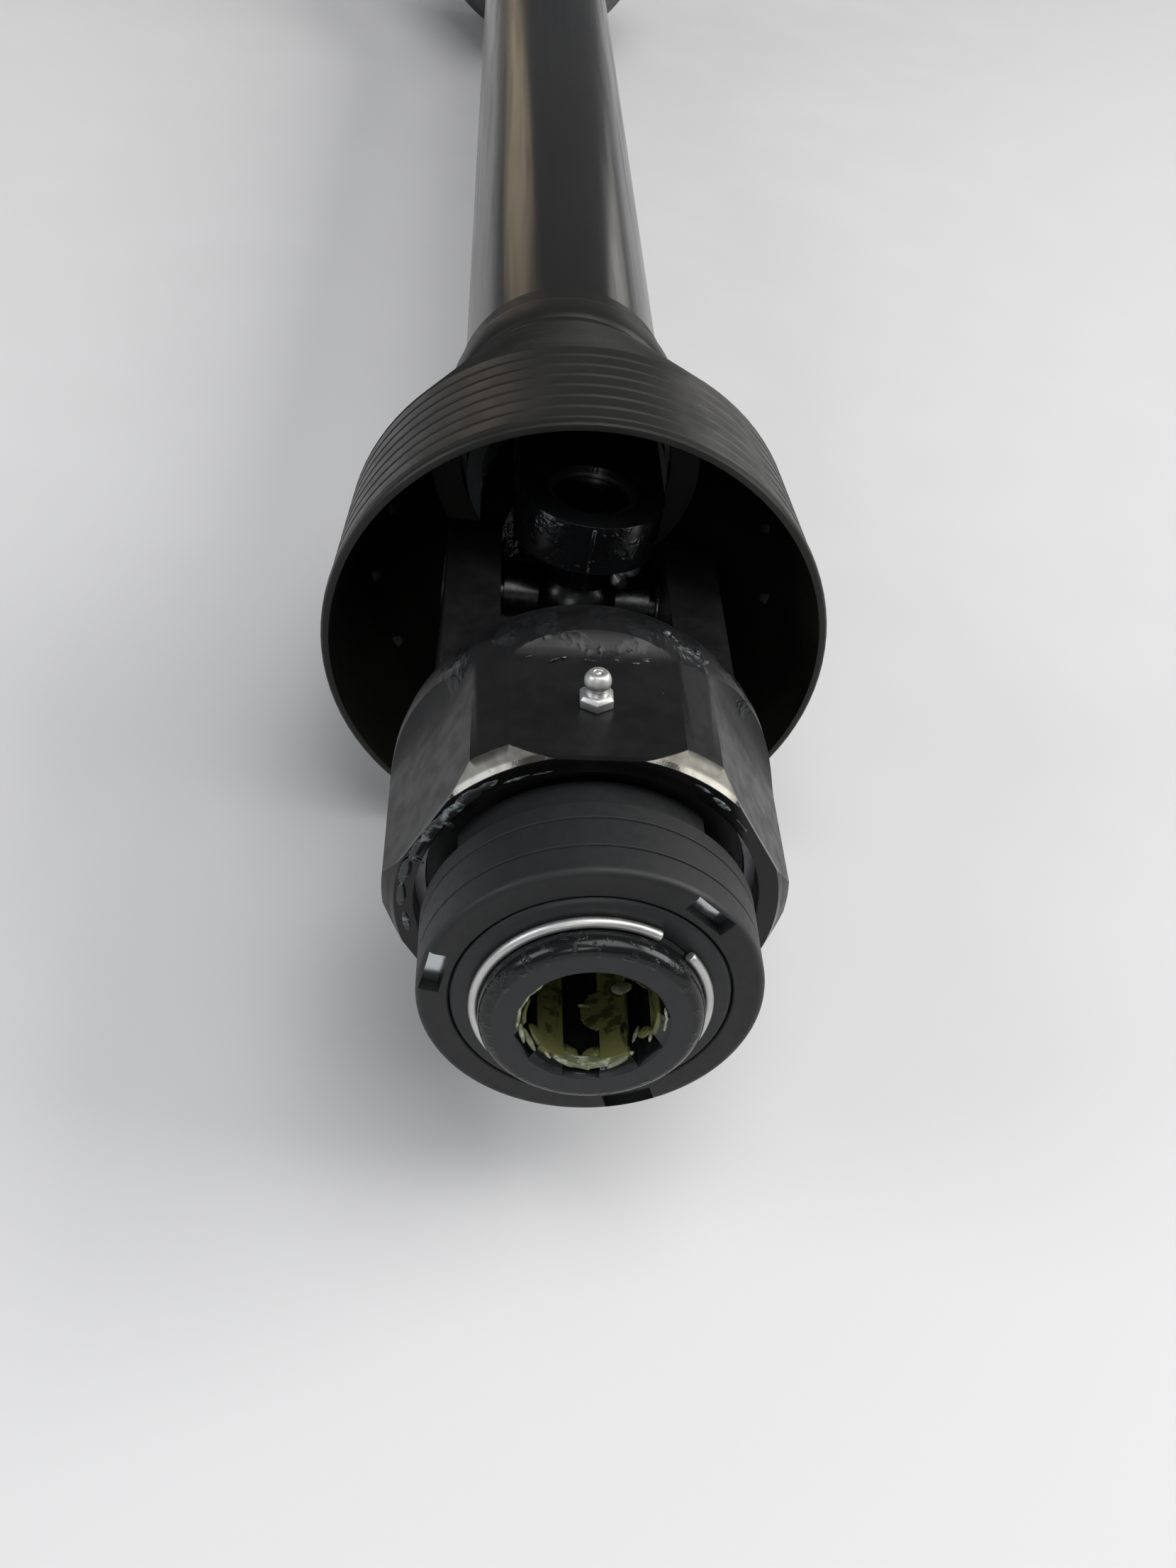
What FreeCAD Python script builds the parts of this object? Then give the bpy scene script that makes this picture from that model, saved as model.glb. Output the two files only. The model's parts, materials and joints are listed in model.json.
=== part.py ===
import FreeCAD, Part
import math
import os

import Sketcher

os.makedirs("parts", exist_ok=True)
doc = FreeCAD.newDocument("pto_drive_shaft")
Vector = FreeCAD.Vector

# The shaft's axis is Y. The mouth of the implement bore is at the origin,
# the tractor end lies towards +Y, and +Z is up.

# Driving dimensions, in millimetres and degrees.
SHEET_ROWS = {
    # clutch hub
    "spline_minor_radius": 14.95,
    "spline_major_radius": 17.475,
    "spline_groove_width": 8.75,
    "hub_radius": 26.1,
    "hub_shoulder_radius": 31.5,
    "hub_shoulder_front": 44,
    "hub_flange_radius": 34.7,
    "hub_flange_front": 57,
    "hub_back": 102,
    "hub_edge": 3,
    "hub_bore_edge": 3.2,
    "ring_groove_place": 6.6,
    "wire_radius": 1.3,
    "wire_mean_radius": 27.05,
    "wire_gap_turn": 36,
    "stop_ring_radius": 32.6,
    "stop_ring_front": 8,
    "stop_ring_back": 10.7,
    # clutch housing
    "housing_front": 39.6,
    "housing_radius": 50.4,
    "housing_flat": 46,
    "housing_flat_end": 76,
    "housing_chamfer_radius": 46.2,
    "housing_chamfer_back": 44.2,
    "housing_mouth_radius": 42.5,
    "housing_seat": 56,
    "housing_bore_radius": 35,
    "housing_bore_end": 103,
    "washer_thickness": 4.9,
    "nipple_back": 21.5,
    "flat_turn": -5,
    "flat_run_out": 12,
    "circlip_depth": 1.6,
    "circlip_width": 1.9,
    "dome_start": 84,
    "dome_radius": 40,
    "dome_back": 114,
    "notch_depth": 3,
    "notch_width": 10.6,
    # keys of the overrunning clutch
    "key_width": 10,
    "key_length": 40,
    "key_height": 13,
    "key_slot_floor": 20,
    # release collar
    "collar_front": 8.5,
    "collar_radius": 40.5,
    "collar_back": 32.1,
    "collar_lip_radius": 32.9,
    "collar_lip_depth": 2.2,
    "collar_inner_radius": 34.2,
    "collar_groove_depth": 0.8,
    "skirt_radius": 38,
    "skirt_back": 41.8,
    "collar_groove_front": 17.1,
    "collar_groove_back": 26.3,
    "window_radius": 37,
    "window_tall": 4.6,
    "window_wide": 12,
    "window_deep": 8,
    "window_turn": 37,
    "skirt_notch_width": 13.2,
    "skirt_notch_length": 6,
    "skirt_notch_turn": 11,
    "collar_travel": 7,
    "ball_radius": 5.55,
    "ball_place": 19.5,
    "ball_turn": 42,
    "ball_lift": 2.3,
    # universal joints
    "joint_a": 172,
    "joint_b": 1032,
    "ear_radius": 21.5,
    "ear_inner": 24.5,
    "ear_outer": 40,
    "cup_radius": 13.5,
    "cup_end": 37.3,
    "cup_start": 23.6,
    "trunnion_radius": 8,
    "trunnion_end": 35,
    # telescoping shaft
    "yoke_hub_radius": 29.2,
    "ring_groove_depth": 1.4,
    "yoke_hub_length": 56,
    "profile_corner": 14.5,
    "profile_round": 9.5,
    "profile_wall": 4,
    "profile_gap": 0.3,
    "outer_profile_end": 895,
    "inner_profile_start": 300,
    # guard
    "bell_rim": 146.3,
    "bell_rim_radius": 74.6,
    "bell_bend": 201,
    "bell_bend_radius": 70.2,
    "bell_neck": 272,
    "bell_neck_radius": 44,
    "neck_dip_radius": 42.4,
    "neck_band_radius": 43.6,
    "neck_band_front": 290,
    "neck_band_back": 302,
    "neck_end_radius": 40,
    "bell_end": 315,
    "bell_wall": 2.4,
    "bell_lip": 0.5,
    "tube_radius": 36.6,
    "tube_wall": 2.2,
    "tube_start": 262,
    "outer_tube_end": 885,
    "inner_tube_start": 330,
    # tractor yoke
    "tractor_hub_radius": 27,
    "tractor_mouth": 1131,
}

sheet = doc.addObject("Spreadsheet::Sheet", "sizes")
for row, (alias, number) in enumerate(SHEET_ROWS.items(), start=1):
    sheet.set(f"A{row}", alias)
    sheet.set(f"B{row}", str(number))
    sheet.setAlias(f"B{row}", alias)
doc.recompute()


class Size:
    """A length together with the sheet formula that gives it."""

    def __init__(self, value, formula):
        self.value = float(value)
        self.formula = formula

    def __add__(self, other):
        other = as_size(other)
        return Size(self.value + other.value, f"({self.formula} + {other.formula})")

    def __sub__(self, other):
        other = as_size(other)
        return Size(self.value - other.value, f"({self.formula} - {other.formula})")

    def __mul__(self, factor):
        return Size(self.value * factor, f"({self.formula} * {factor})")

    def __neg__(self):
        return Size(-self.value, f"(0 - {self.formula})")

    __radd__ = __add__
    __rmul__ = __mul__

    def __rsub__(self, other):
        return as_size(other) - self


def as_size(number):
    return number if isinstance(number, Size) else Size(number, repr(float(number)))


class Sizes:
    """Gives each row of the sheet as a Size."""

    def __getattr__(self, alias):
        return Size(SHEET_ROWS[alias], f"sizes.{alias}")


size = Sizes()
nodes = []


def keep(feature, node):
    """Marks a finished sub-part as a node of the assembly."""
    feature.Label = node
    nodes.append(feature)
    return feature


# Sketches


Y_IN_PLANE = {"XY_Plane": Vector(0, 1, 0), "XZ_Plane": Vector(0, 0, -1), "YZ_Plane": Vector(1, 0, 0)}


def plane_of(body, role):
    return next(f for f in body.Origin.OriginFeatures if f.Role == role)


def sketch_on(body, name, role, offset=None, turn=0):
    """An empty sketch on one of the body's own planes, moved along its normal and turned about Y."""
    sketch = body.newObject("Sketcher::SketchObject", name)
    sketch.AttachmentSupport = [(plane_of(body, role), "")]
    sketch.MapMode = "FlatFace"
    sketch.AttachmentOffset = FreeCAD.Placement(Vector(0, 0, 0), FreeCAD.Rotation(Y_IN_PLANE[role], turn))
    if offset is not None:
        sketch.setExpression("AttachmentOffset.Base.z", as_size(offset).formula)
    return sketch


def polygon(sketch, corners):
    """A closed outline with every corner held by the sheet."""
    first = sketch.GeometryCount
    corners = [(as_size(x), as_size(y)) for x, y in corners]
    count = len(corners)
    for i, (x, y) in enumerate(corners):
        x2, y2 = corners[(i + 1) % count]
        line = Part.LineSegment(Vector(x.value, y.value, 0), Vector(x2.value, y2.value, 0))
        sketch.addGeometry(line, False)
    for i, (x, y) in enumerate(corners):
        after = first + (i + 1) % count
        sketch.addConstraint(Sketcher.Constraint("Coincident", first + i, 2, after, 1))
        hold_point(sketch, first + i, 1, x, y)


def hold_point(sketch, geometry, end, x=None, y=None):
    for kind, amount in (("DistanceX", x), ("DistanceY", y)):
        if amount is None:
            continue
        index = sketch.addConstraint(Sketcher.Constraint(kind, -1, 1, geometry, end, amount.value))
        sketch.setExpression(f"Constraints[{index}]", amount.formula)


def box_corners(x1, x2, y1, y2):
    return [(x1, y1), (x2, y1), (x2, y2), (x1, y2)]


# Solid features


def turned(name, corners):
    """A body turned about the Y axis from an outline of radius and place."""
    body = doc.addObject("PartDesign::Body", name)
    sketch = sketch_on(body, name + "_outline", "XY_Plane")
    polygon(sketch, corners)
    turn = body.newObject("PartDesign::Revolution", name + "_turned")
    turn.Profile = sketch
    turn.ReferenceAxis = (sketch, ["V_Axis"])
    turn.Angle = 360
    doc.recompute()
    return body


def pad(name, role, draw, length, offset=None, midplane=False, backwards=False):
    """A body made by padding one sketch, which draw fills."""
    body = doc.addObject("PartDesign::Body", name)
    sketch = sketch_on(body, name + "_section", role, offset)
    draw(sketch)
    feature = body.newObject("PartDesign::Pad", name + "_pad")
    feature.Profile = sketch
    feature.Midplane = midplane
    feature.Reversed = backwards
    feature.setExpression("Length", as_size(length).formula)
    doc.recompute()
    return body


def pocket(body, name, role, draw, length, offset=None, midplane=False, turn=0, repeat=1):
    """Cuts one sketch out of the body, once or evenly round its Y axis."""
    before = body.Shape.Volume
    sketch = sketch_on(body, name + "_section", role, offset, turn)
    draw(sketch)
    feature = body.newObject("PartDesign::Pocket", name)
    feature.Profile = sketch
    feature.Midplane = midplane
    feature.setExpression("Length", as_size(length).formula)
    doc.recompute()
    if repeat > 1:
        pattern = body.newObject("PartDesign::PolarPattern", name + "_round")
        pattern.Originals = [feature]
        pattern.Axis = (plane_of(body, "Y_Axis"), [""])
        pattern.Angle = 360
        pattern.Occurrences = repeat
        body.Tip = pattern
        doc.recompute()
    if body.Shape.Volume > before - 0.1:
        raise RuntimeError(f"{name} cuts nothing from {body.Name}")
    return feature


def cylinder(name, radius, length, place, direction):
    """A cylinder that starts at place and runs along direction."""
    feature = doc.addObject("Part::Cylinder", name)
    feature.setExpression("Radius", as_size(radius).formula)
    feature.setExpression("Height", as_size(length).formula)
    put(feature, place, FreeCAD.Rotation(Vector(0, 0, 1), Vector(*direction)))
    return feature


def sphere(name, radius, place):
    feature = doc.addObject("Part::Sphere", name)
    feature.setExpression("Radius", as_size(radius).formula)
    put(feature, place)
    return feature


def block(name, lengths, place):
    """A box of three lengths with its lowest corner at place."""
    feature = doc.addObject("Part::Box", name)
    for side, length in zip(("Length", "Width", "Height"), lengths):
        feature.setExpression(side, as_size(length).formula)
    put(feature, place)
    return feature


def put(feature, place, rotation=None):
    feature.Placement = FreeCAD.Placement(Vector(0, 0, 0), rotation or FreeCAD.Rotation())
    for axis, amount in zip("xyz", place):
        feature.setExpression(f"Placement.Base.{axis}", as_size(amount).formula)
    return feature


def fuse(name, shapes):
    feature = doc.addObject("Part::MultiFuse", name)
    feature.Shapes = shapes
    feature.Refine = True
    return feature


def cut(name, base, tools):
    """Base less every tool."""
    feature = doc.addObject("Part::Cut", name)
    feature.Base = base
    feature.Tool = tools[0] if len(tools) == 1 else fuse(name + "_tools", tools)
    feature.Refine = True
    return feature


def common(name, base, tool):
    feature = doc.addObject("Part::Common", name)
    feature.Base = base
    feature.Tool = tool
    feature.Refine = True
    return feature


def group(name, shapes):
    """Separate like solids kept together."""
    feature = doc.addObject("Part::Compound", name)
    feature.Links = shapes
    return feature


def polar(radius, degrees):
    """Place across the axis, measured clockwise from the top as seen from the implement."""
    turn = math.radians(degrees)
    return radius * math.sin(turn), radius * math.cos(turn)


TO_X = FreeCAD.Rotation(Vector(0, 0, 1), -90)
TO_Z = FreeCAD.Rotation(Vector(1, 0, 0), 90)
COIL_SPAN = 0.25


# Clutch at the implement end


def rounded_edge(radius, place, edge):
    """The front edge of a turned part, from its face round to its outside."""
    steps = 4
    corners = []
    for i in range(steps + 1):
        turn = math.pi / 2 * i / steps
        short, deep = 1 - round(math.sin(turn), 5), 1 - round(math.cos(turn), 5)
        corners.append((radius - edge * short, place + edge * deep))
    return corners


def dome_corners():
    """The housing's rounded back, from its largest radius to its back face."""
    steps = 6
    sweep = math.asin((size.dome_back.value - size.dome_start.value) / size.dome_radius.value)
    corners = []
    for i in range(steps + 1):
        turn = sweep * i / steps
        corners.append((size.housing_radius - size.dome_radius * (1 - round(math.cos(turn), 5)),
                        size.dome_start + size.dome_radius * round(math.sin(turn), 5)))
    return corners


def make_yoke_arms(name, joint, root, rounded_to):
    """A pair of arms with round ears across X; root is where they leave their hub."""
    lean = 7 if root.value > joint.value else -7
    arm = pad(name + "_arms", "XY_Plane",
              lambda s: polygon(s, [(size.ear_inner, joint - rounded_to), (size.ear_outer, joint - rounded_to),
                                    (size.ear_outer, root), (size.ear_inner - 6, root),
                                    (size.ear_inner, root - lean * 2)]),
              size.ear_radius * 2, midplane=True)
    outline = pad(name + "_outline", "YZ_Plane", lambda s: stadium(s, joint, root), size.ear_outer * 2 + 2,
                  midplane=True)
    right = common(name + "_right", arm, outline)
    left = doc.addObject("Part::Mirroring", name + "_left")
    left.Source = right
    left.Normal = Vector(1, 0, 0)
    return [right, left]


def stadium(sketch, joint, root):
    """A strip as wide as the ear with a half-round end about the joint."""
    joint, root, radius = as_size(joint), as_size(root), size.ear_radius
    side = 1 if root.value > joint.value else -1
    top = Vector(joint.value, radius.value, 0)
    bottom = Vector(joint.value, -radius.value, 0)
    far_top = Vector(root.value, radius.value, 0)
    far_bottom = Vector(root.value, -radius.value, 0)
    start, stop = (math.pi / 2, 3 * math.pi / 2) if side > 0 else (-math.pi / 2, math.pi / 2)
    whole = Part.Circle(Vector(joint.value, 0, 0), Vector(0, 0, 1), radius.value)
    arc = sketch.addGeometry(Part.ArcOfCircle(whole, start, stop), False)
    lines = [sketch.addGeometry(Part.LineSegment(a, b), False)
             for a, b in ((top, far_top), (far_top, far_bottom), (far_bottom, bottom))]
    top_end, bottom_end = (1, 2) if side > 0 else (2, 1)
    sketch.addConstraint(Sketcher.Constraint("Coincident", arc, top_end, lines[0], 1))
    sketch.addConstraint(Sketcher.Constraint("Coincident", lines[0], 2, lines[1], 1))
    sketch.addConstraint(Sketcher.Constraint("Coincident", lines[1], 2, lines[2], 1))
    sketch.addConstraint(Sketcher.Constraint("Coincident", lines[2], 2, arc, bottom_end))
    hold_point(sketch, arc, 3, joint, as_size(0))
    hold_point(sketch, arc, top_end, joint, radius)
    hold_point(sketch, arc, bottom_end, joint)
    hold_point(sketch, lines[0], 2, root, radius)
    hold_point(sketch, lines[1], 2, root, -radius)


def ear_bores(name, joint):
    """The bore for the two cups and the grooves for their snap rings, across X."""
    reach = size.ear_outer + 2
    bore = cylinder(name + "_bore", size.cup_radius, reach * 2, (-reach, joint, 0), (1, 0, 0))
    grooves = [cylinder(f"{name}_groove_{word}", size.cup_radius + 0.9, 1.5, (place, joint, 0), (1, 0, 0))
               for word, place in (("right", size.cup_end), ("left", -size.cup_end - 1.5))]
    return [bore] + grooves


def flat_section(sketch):
    """Long section of what is cut off for a flat: it runs out in an arc towards the dome."""
    front, end = size.housing_front - 1, size.housing_flat_end
    low, radius = size.housing_flat, size.flat_run_out
    start = Vector(end.value, low.value, 0)
    stop = Vector((end + radius).value, (low + radius).value, 0)
    far_top = Vector(front.value, stop.y, 0)
    far_bottom = Vector(front.value, start.y, 0)
    whole = Part.Circle(Vector(start.x, stop.y, 0), Vector(0, 0, 1), radius.value)
    arc = sketch.addGeometry(Part.ArcOfCircle(whole, -math.pi / 2, 0), False)
    lines = [sketch.addGeometry(Part.LineSegment(a, b), False)
             for a, b in ((stop, far_top), (far_top, far_bottom), (far_bottom, start))]
    for first, second in ((arc, lines[0]), (lines[0], lines[1]), (lines[1], lines[2]), (lines[2], arc)):
        sketch.addConstraint(Sketcher.Constraint("Coincident", first, 2, second, 1))
    hold_point(sketch, arc, 3, end, low + radius)
    hold_point(sketch, arc, 1, end, low)
    hold_point(sketch, arc, 2, y=low + radius)
    hold_point(sketch, lines[0], 2, front, low + radius)
    hold_point(sketch, lines[1], 2, front, low)


def notch_section(sketch):
    """Cross section of one notch that a key's nose drops into."""
    half, corner = size.notch_width * 0.5, 1.5
    low = size.housing_bore_radius - 3
    high = size.housing_bore_radius + size.notch_depth
    polygon(sketch, [(-half, low), (half, low), (half, high - 1), (half - corner, high),
                     (corner - half, high), (-half, high - 1)])


def make_clutch_housing():
    """Forged housing with six flats, a round back and the first yoke's arms."""
    mouth = size.housing_mouth_radius
    floor = size.housing_bore_end
    seat = size.housing_seat
    clip_back = seat - size.washer_thickness - 0.1
    clip_front = clip_back - size.circlip_width
    shell = turned("housing_shell", [
        (mouth, size.housing_front), (size.housing_chamfer_radius + 1, size.housing_front),
        (size.housing_radius, size.housing_chamfer_back)] + dome_corners() + [
        (0, size.dome_back), (0, floor), (size.housing_bore_radius, floor), (size.housing_bore_radius, seat),
        (mouth, seat), (mouth, clip_back), (mouth + size.circlip_depth, clip_back),
        (mouth + size.circlip_depth, clip_front), (mouth, clip_front)])
    pocket(shell, "housing_flat", "YZ_Plane", flat_section, size.housing_radius * 1.2, midplane=True,
           turn=size.flat_turn.value, repeat=6)
    pocket(shell, "housing_notch", "XZ_Plane", notch_section, floor - seat, offset=-seat, repeat=12)
    arms = make_yoke_arms("clutch_yoke", size.joint_a, size.dome_back - 12, as_size(-25))
    body = fuse("housing_body", [shell] + arms)
    hole = cylinder("nipple_hole", 3, 20, nipple_seat(size.housing_bore_radius), nipple_direction())
    keep(cut("clutch_housing_cut", body, ear_bores("clutch_yoke", size.joint_a) + [hole]), "clutch_housing")


def nipple_direction():
    x, z = polar(1, size.flat_turn.value)
    return x, 0, z


def nipple_seat(radius):
    """The point at a radius under the middle of the grease nipple."""
    x, z = polar(radius, size.flat_turn.value)
    return x, size.housing_front + size.nipple_back, z


def make_grease_nipple(name, node, place, direction):
    """A grease nipple: threaded stem, hexagon and ball head, standing along direction."""
    nipple = turned(name, [(0, -6), (2.9, -6), (2.9, 0), (2.9, 3.4), (2.2, 4.2), (2.2, 4.8), (3.0, 5.6),
                           (3.3, 6.8), (3.0, 8), (2.3, 8.8), (1.6, 9.2), (1.0, 9.2), (1.0, 8.6), (0, 8.6)])
    hexagon = doc.addObject("Part::Prism", name + "_hexagon")
    hexagon.Polygon = 6
    hexagon.Circumradius = 4.6
    hexagon.Height = 3.2
    hexagon.Placement = FreeCAD.Placement(Vector(0, 0, 0), FreeCAD.Rotation(Vector(0, 0, 1), Vector(0, 1, 0)))
    whole = fuse(name + "_whole", [nipple, hexagon])
    put(whole, place, FreeCAD.Rotation(Vector(0, 1, 0), Vector(*direction)))
    keep(whole, node)


def make_clutch_hub():
    """Hub with the splined bore, the ball holes and the two key slots."""
    bore = size.spline_minor_radius
    edge = size.hub_edge
    outer, shoulder = size.hub_radius, size.hub_shoulder_radius
    groove, half, floor = size.ring_groove_place, size.wire_radius, outer - 0.6
    hub = turned("hub_body", [(bore + size.hub_bore_edge, 0)] + rounded_edge(outer, 0, edge) + [
        (outer, groove - half), (floor, groove - half + 0.4), (floor, groove + half - 0.4),
        (outer, groove + half), (outer, size.hub_shoulder_front), (shoulder, size.hub_shoulder_front),
        (shoulder, size.hub_flange_front), (size.hub_flange_radius, size.hub_flange_front),
        (size.hub_flange_radius, size.hub_back), (bore, size.hub_back), (bore, size.hub_bore_edge)])
    half = size.spline_groove_width * 0.5
    pocket(hub, "spline_groove", "XZ_Plane",
           lambda s: polygon(s, box_corners(-half, half, 10, size.spline_major_radius)),
           size.hub_back, repeat=6)
    for side in (1, -1):
        low, high = (size.key_slot_floor, size.hub_flange_radius + 2)
        x1, x2 = (low, high) if side > 0 else (-high, -low)
        pocket(hub, "key_slot_right" if side > 0 else "key_slot_left", "XZ_Plane",
               lambda s: polygon(s, box_corners(x1, x2, -size.key_width * 0.5 - 0.05,
                                                size.key_width * 0.5 + 0.05)),
               size.key_length + 0.2, offset=-(size.hub_flange_front + 1.9))
    holes = [cylinder(f"ball_hole_{i}", size.ball_radius + 0.09, 30, (0, size.ball_place, 0),
                      (*ball_direction(i),)) for i in range(3)]
    keep(cut("clutch_hub_cut", hub, holes), "clutch_hub")


def ball_direction(index):
    x, z = polar(1, size.ball_turn.value + 120 * index)
    return x, 0, z


def make_keys():
    """Two keys in the hub's slots; their noses stand in the housing's notches."""
    top = size.housing_bore_radius + size.notch_depth - 0.4
    half = size.key_width * 0.5
    low = top - size.key_height
    corners = [(low, -half), (top - 2.4, -half), (top, -half + 2.4), (top, half - 2.4), (top - 2.4, half),
               (low, half)]
    for word, side in (("right", 1), ("left", -1)):
        points = corners if side > 0 else [(-x, z) for x, z in corners]
        key = pad("key_body_" + word, "XZ_Plane", lambda s: polygon(s, points), size.key_length,
                  offset=-(size.hub_flange_front + 2), backwards=True)
        keep(key, "key_" + word)
        make_coil("key_spring_" + word, 2.6, 0.45, low - size.key_slot_floor - 0.2, 3,
                  (side * (size.key_slot_floor + 0.1), size.hub_flange_front + 22, 0), (side, 0, 0))


def make_coil(node, mean_radius, wire_radius, length, turns, foot, direction):
    """A coil spring with its foot at a point and its length along a direction."""
    rise = as_size(length) - wire_radius * 2
    helix = doc.addObject("Part::Helix", node + "_helix")
    helix.SegmentLength = COIL_SPAN
    helix.setExpression("Radius", as_size(mean_radius).formula)
    helix.setExpression("Height", rise.formula)
    helix.setExpression("Pitch", f"{rise.formula} / {turns}")
    wire = doc.addObject("Part::Circle", node + "_wire")
    wire.Radius = wire_radius
    put(wire, (mean_radius, 0, 0), TO_Z)
    doc.recompute()
    coil = doc.addObject("Part::Sweep", node + "_coil")
    coil.Sections = [wire]
    coil.Spine = (helix, [f"Edge{i + 1}" for i in range(len(helix.Shape.Edges))])
    coil.Solid = True
    coil.Frenet = True
    start = [f + as_size(d * wire_radius) for f, d in zip(foot, direction)]
    put(coil, start, FreeCAD.Rotation(Vector(0, 0, 1), Vector(*direction)))
    keep(coil, node)


def make_closing_parts():
    seat = size.housing_seat
    inner = size.hub_shoulder_radius + 0.3
    outer = size.housing_mouth_radius
    front = seat - size.washer_thickness
    keep(turned("washer_body", [(inner, front), (outer - 0.1, front), (outer - 0.1, seat), (inner, seat)]),
         "closing_washer")
    back = front - 0.2
    clip_front = back - (size.circlip_width - 0.2)
    clip = turned("circlip_body", [(outer - 2.8, clip_front), (outer + 1.5, clip_front), (outer + 1.5, back),
                                   (outer - 2.8, back)])
    pocket(clip, "circlip_gap", "XZ_Plane", lambda s: polygon(s, box_corners(-5, 5, 30, 50)), 10,
           offset=-(seat - 10))
    keep(clip, "housing_circlip")


# Quick-release collar


def make_release_collar():
    """Moulded sleeve: three bands, three windows in its face and a notched skirt."""
    front = size.collar_front
    big = size.collar_radius
    skirt = size.skirt_radius
    lip, inner = size.collar_lip_radius, size.collar_inner_radius
    groove, depth = 0.35, size.collar_groove_depth
    step = front + size.collar_lip_depth
    corners = [(inner, step), (lip, step), (lip, front + 0.4), (lip + 0.4, front)]
    corners += rounded_edge(big, front, as_size(2))
    for place in (size.collar_groove_front, size.collar_groove_back):
        corners += [(big, place - groove), (big - depth, place), (big, place + groove)]
    corners += [(big, size.collar_back - 0.5), (big - 0.5, size.collar_back), (skirt, size.collar_back),
                (skirt, size.skirt_back), (inner, size.skirt_back)]
    collar = turned("collar_body", corners)
    low = size.window_radius - size.window_tall * 0.5
    high = size.window_radius + size.window_tall * 0.5
    half = size.window_wide * 0.5
    pocket(collar, "collar_window", "XZ_Plane", lambda s: polygon(s, box_corners(-half, half, low, high)),
           size.window_deep, offset=-front, repeat=3)
    side, length = size.skirt_notch_width * 0.5, size.skirt_notch_length
    pocket(collar, "skirt_notch", "XZ_Plane", lambda s: polygon(s, box_corners(-side, side, 30, big + 2)),
           length, offset=-(size.skirt_back - length), turn=size.skirt_notch_turn.value, repeat=3)
    put(collar, (0, 0, 0), FreeCAD.Rotation(Vector(0, 1, 0), size.window_turn.value))
    keep(collar, "release_collar")


def ramp_radius(place):
    """Radius of the sleeve's cone at a place along the axis, clear of the balls at rest."""
    slope = SHEET_ROWS["ball_lift"] / SHEET_ROWS["collar_travel"]
    clear = (size.ball_radius + 0.2) * round(math.hypot(1, slope), 5)
    return ball_centre() + clear + (size.ball_place - place) * round(slope, 5)


def ball_centre():
    return size.hub_radius + 0.2 - size.ball_radius


def make_locking_sleeve():
    """Steel sleeve that holds the balls in; its cone lets them out as it slides back."""
    front = size.collar_front + 2.6
    outer = as_size(34.1)
    bore = size.hub_radius + 0.3
    ramp_end = size.ball_place + 1.2
    sleeve = turned("sleeve_body", [
        (ramp_radius(front), front), (outer, front), (outer, size.collar_back - 1.5),
        (bore, size.collar_back - 1.5), (bore, ramp_end), (ramp_radius(ramp_end), ramp_end)])
    keep(sleeve, "locking_sleeve")


def make_balls():
    for i in range(3):
        x, z = polar(1, size.ball_turn.value + 120 * i)
        radius = ball_centre()
        ball = sphere(f"ball_{i + 1}_sphere", size.ball_radius, (radius * round(x, 6), size.ball_place,
                                                                radius * round(z, 6)))
        keep(ball, f"ball_{i + 1}")


def make_front_rings():
    """Stop ring on the hub and the round-wire ring that holds it."""
    inner, outer = size.hub_radius + 0.1, size.stop_ring_radius
    front, back = size.stop_ring_front, size.stop_ring_back
    keep(turned("stop_body", [(inner, front), (outer - 0.8, front), (outer, front + 0.8), (outer, back - 1.3),
                              (outer - 3.3, back), (inner, back)]), "stop_ring")
    wire = doc.addObject("Part::Torus", "wire_round")
    wire.setExpression("Radius1", size.wire_mean_radius.formula)
    wire.setExpression("Radius2", size.wire_radius.formula)
    wire.Angle3 = 340
    middle_of_gap = FreeCAD.Rotation(Vector(0, 1, 0), size.wire_gap_turn.value)
    flat = FreeCAD.Rotation(Vector(1, 0, 0), 90)
    first_end = FreeCAD.Rotation(Vector(0, 0, 1), -80)
    put(wire, (0, size.ring_groove_place, 0), middle_of_gap.multiply(flat).multiply(first_end))
    keep(wire, "wire_ring")


# Universal joints


def make_cross(word, joint):
    """A forged cross: four trunnions on a rounded centre."""
    end = size.trunnion_end
    arms = [cylinder(f"cross_{word}_{axis}", size.trunnion_radius, end * 2, start, direction)
            for axis, start, direction in (("across", (-end, joint, 0), (1, 0, 0)),
                                           ("upright", (0, joint, -end), (0, 0, 1)))]
    shoulders = [cylinder(f"cross_{word}_{axis}_shoulder", size.trunnion_radius + 3, 44, start, direction)
                 for axis, start, direction in (("across", (-22, joint, 0), (1, 0, 0)),
                                                ("upright", (0, joint, -22), (0, 0, 1)))]
    body = fuse(f"cross_{word}_body", arms + shoulders + [sphere(f"cross_{word}_centre", 16, (0, joint, 0))])
    seat = 15 * 0.70711
    hole = cylinder(f"cross_{word}_nipple_hole", 3, 20, (0, joint, 0), (1, 0, 1))
    spot = cylinder(f"cross_{word}_nipple_spot", 5.2, 10, (seat, joint, seat), (1, 0, 1))
    keep(cut(f"cross_{word}_cut", body, [hole, spot]), f"cross_{word}")
    make_grease_nipple(f"cross_nipple_{word}_body", f"cross_nipple_{word}", (seat, joint, seat), (1, 0, 1))


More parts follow.
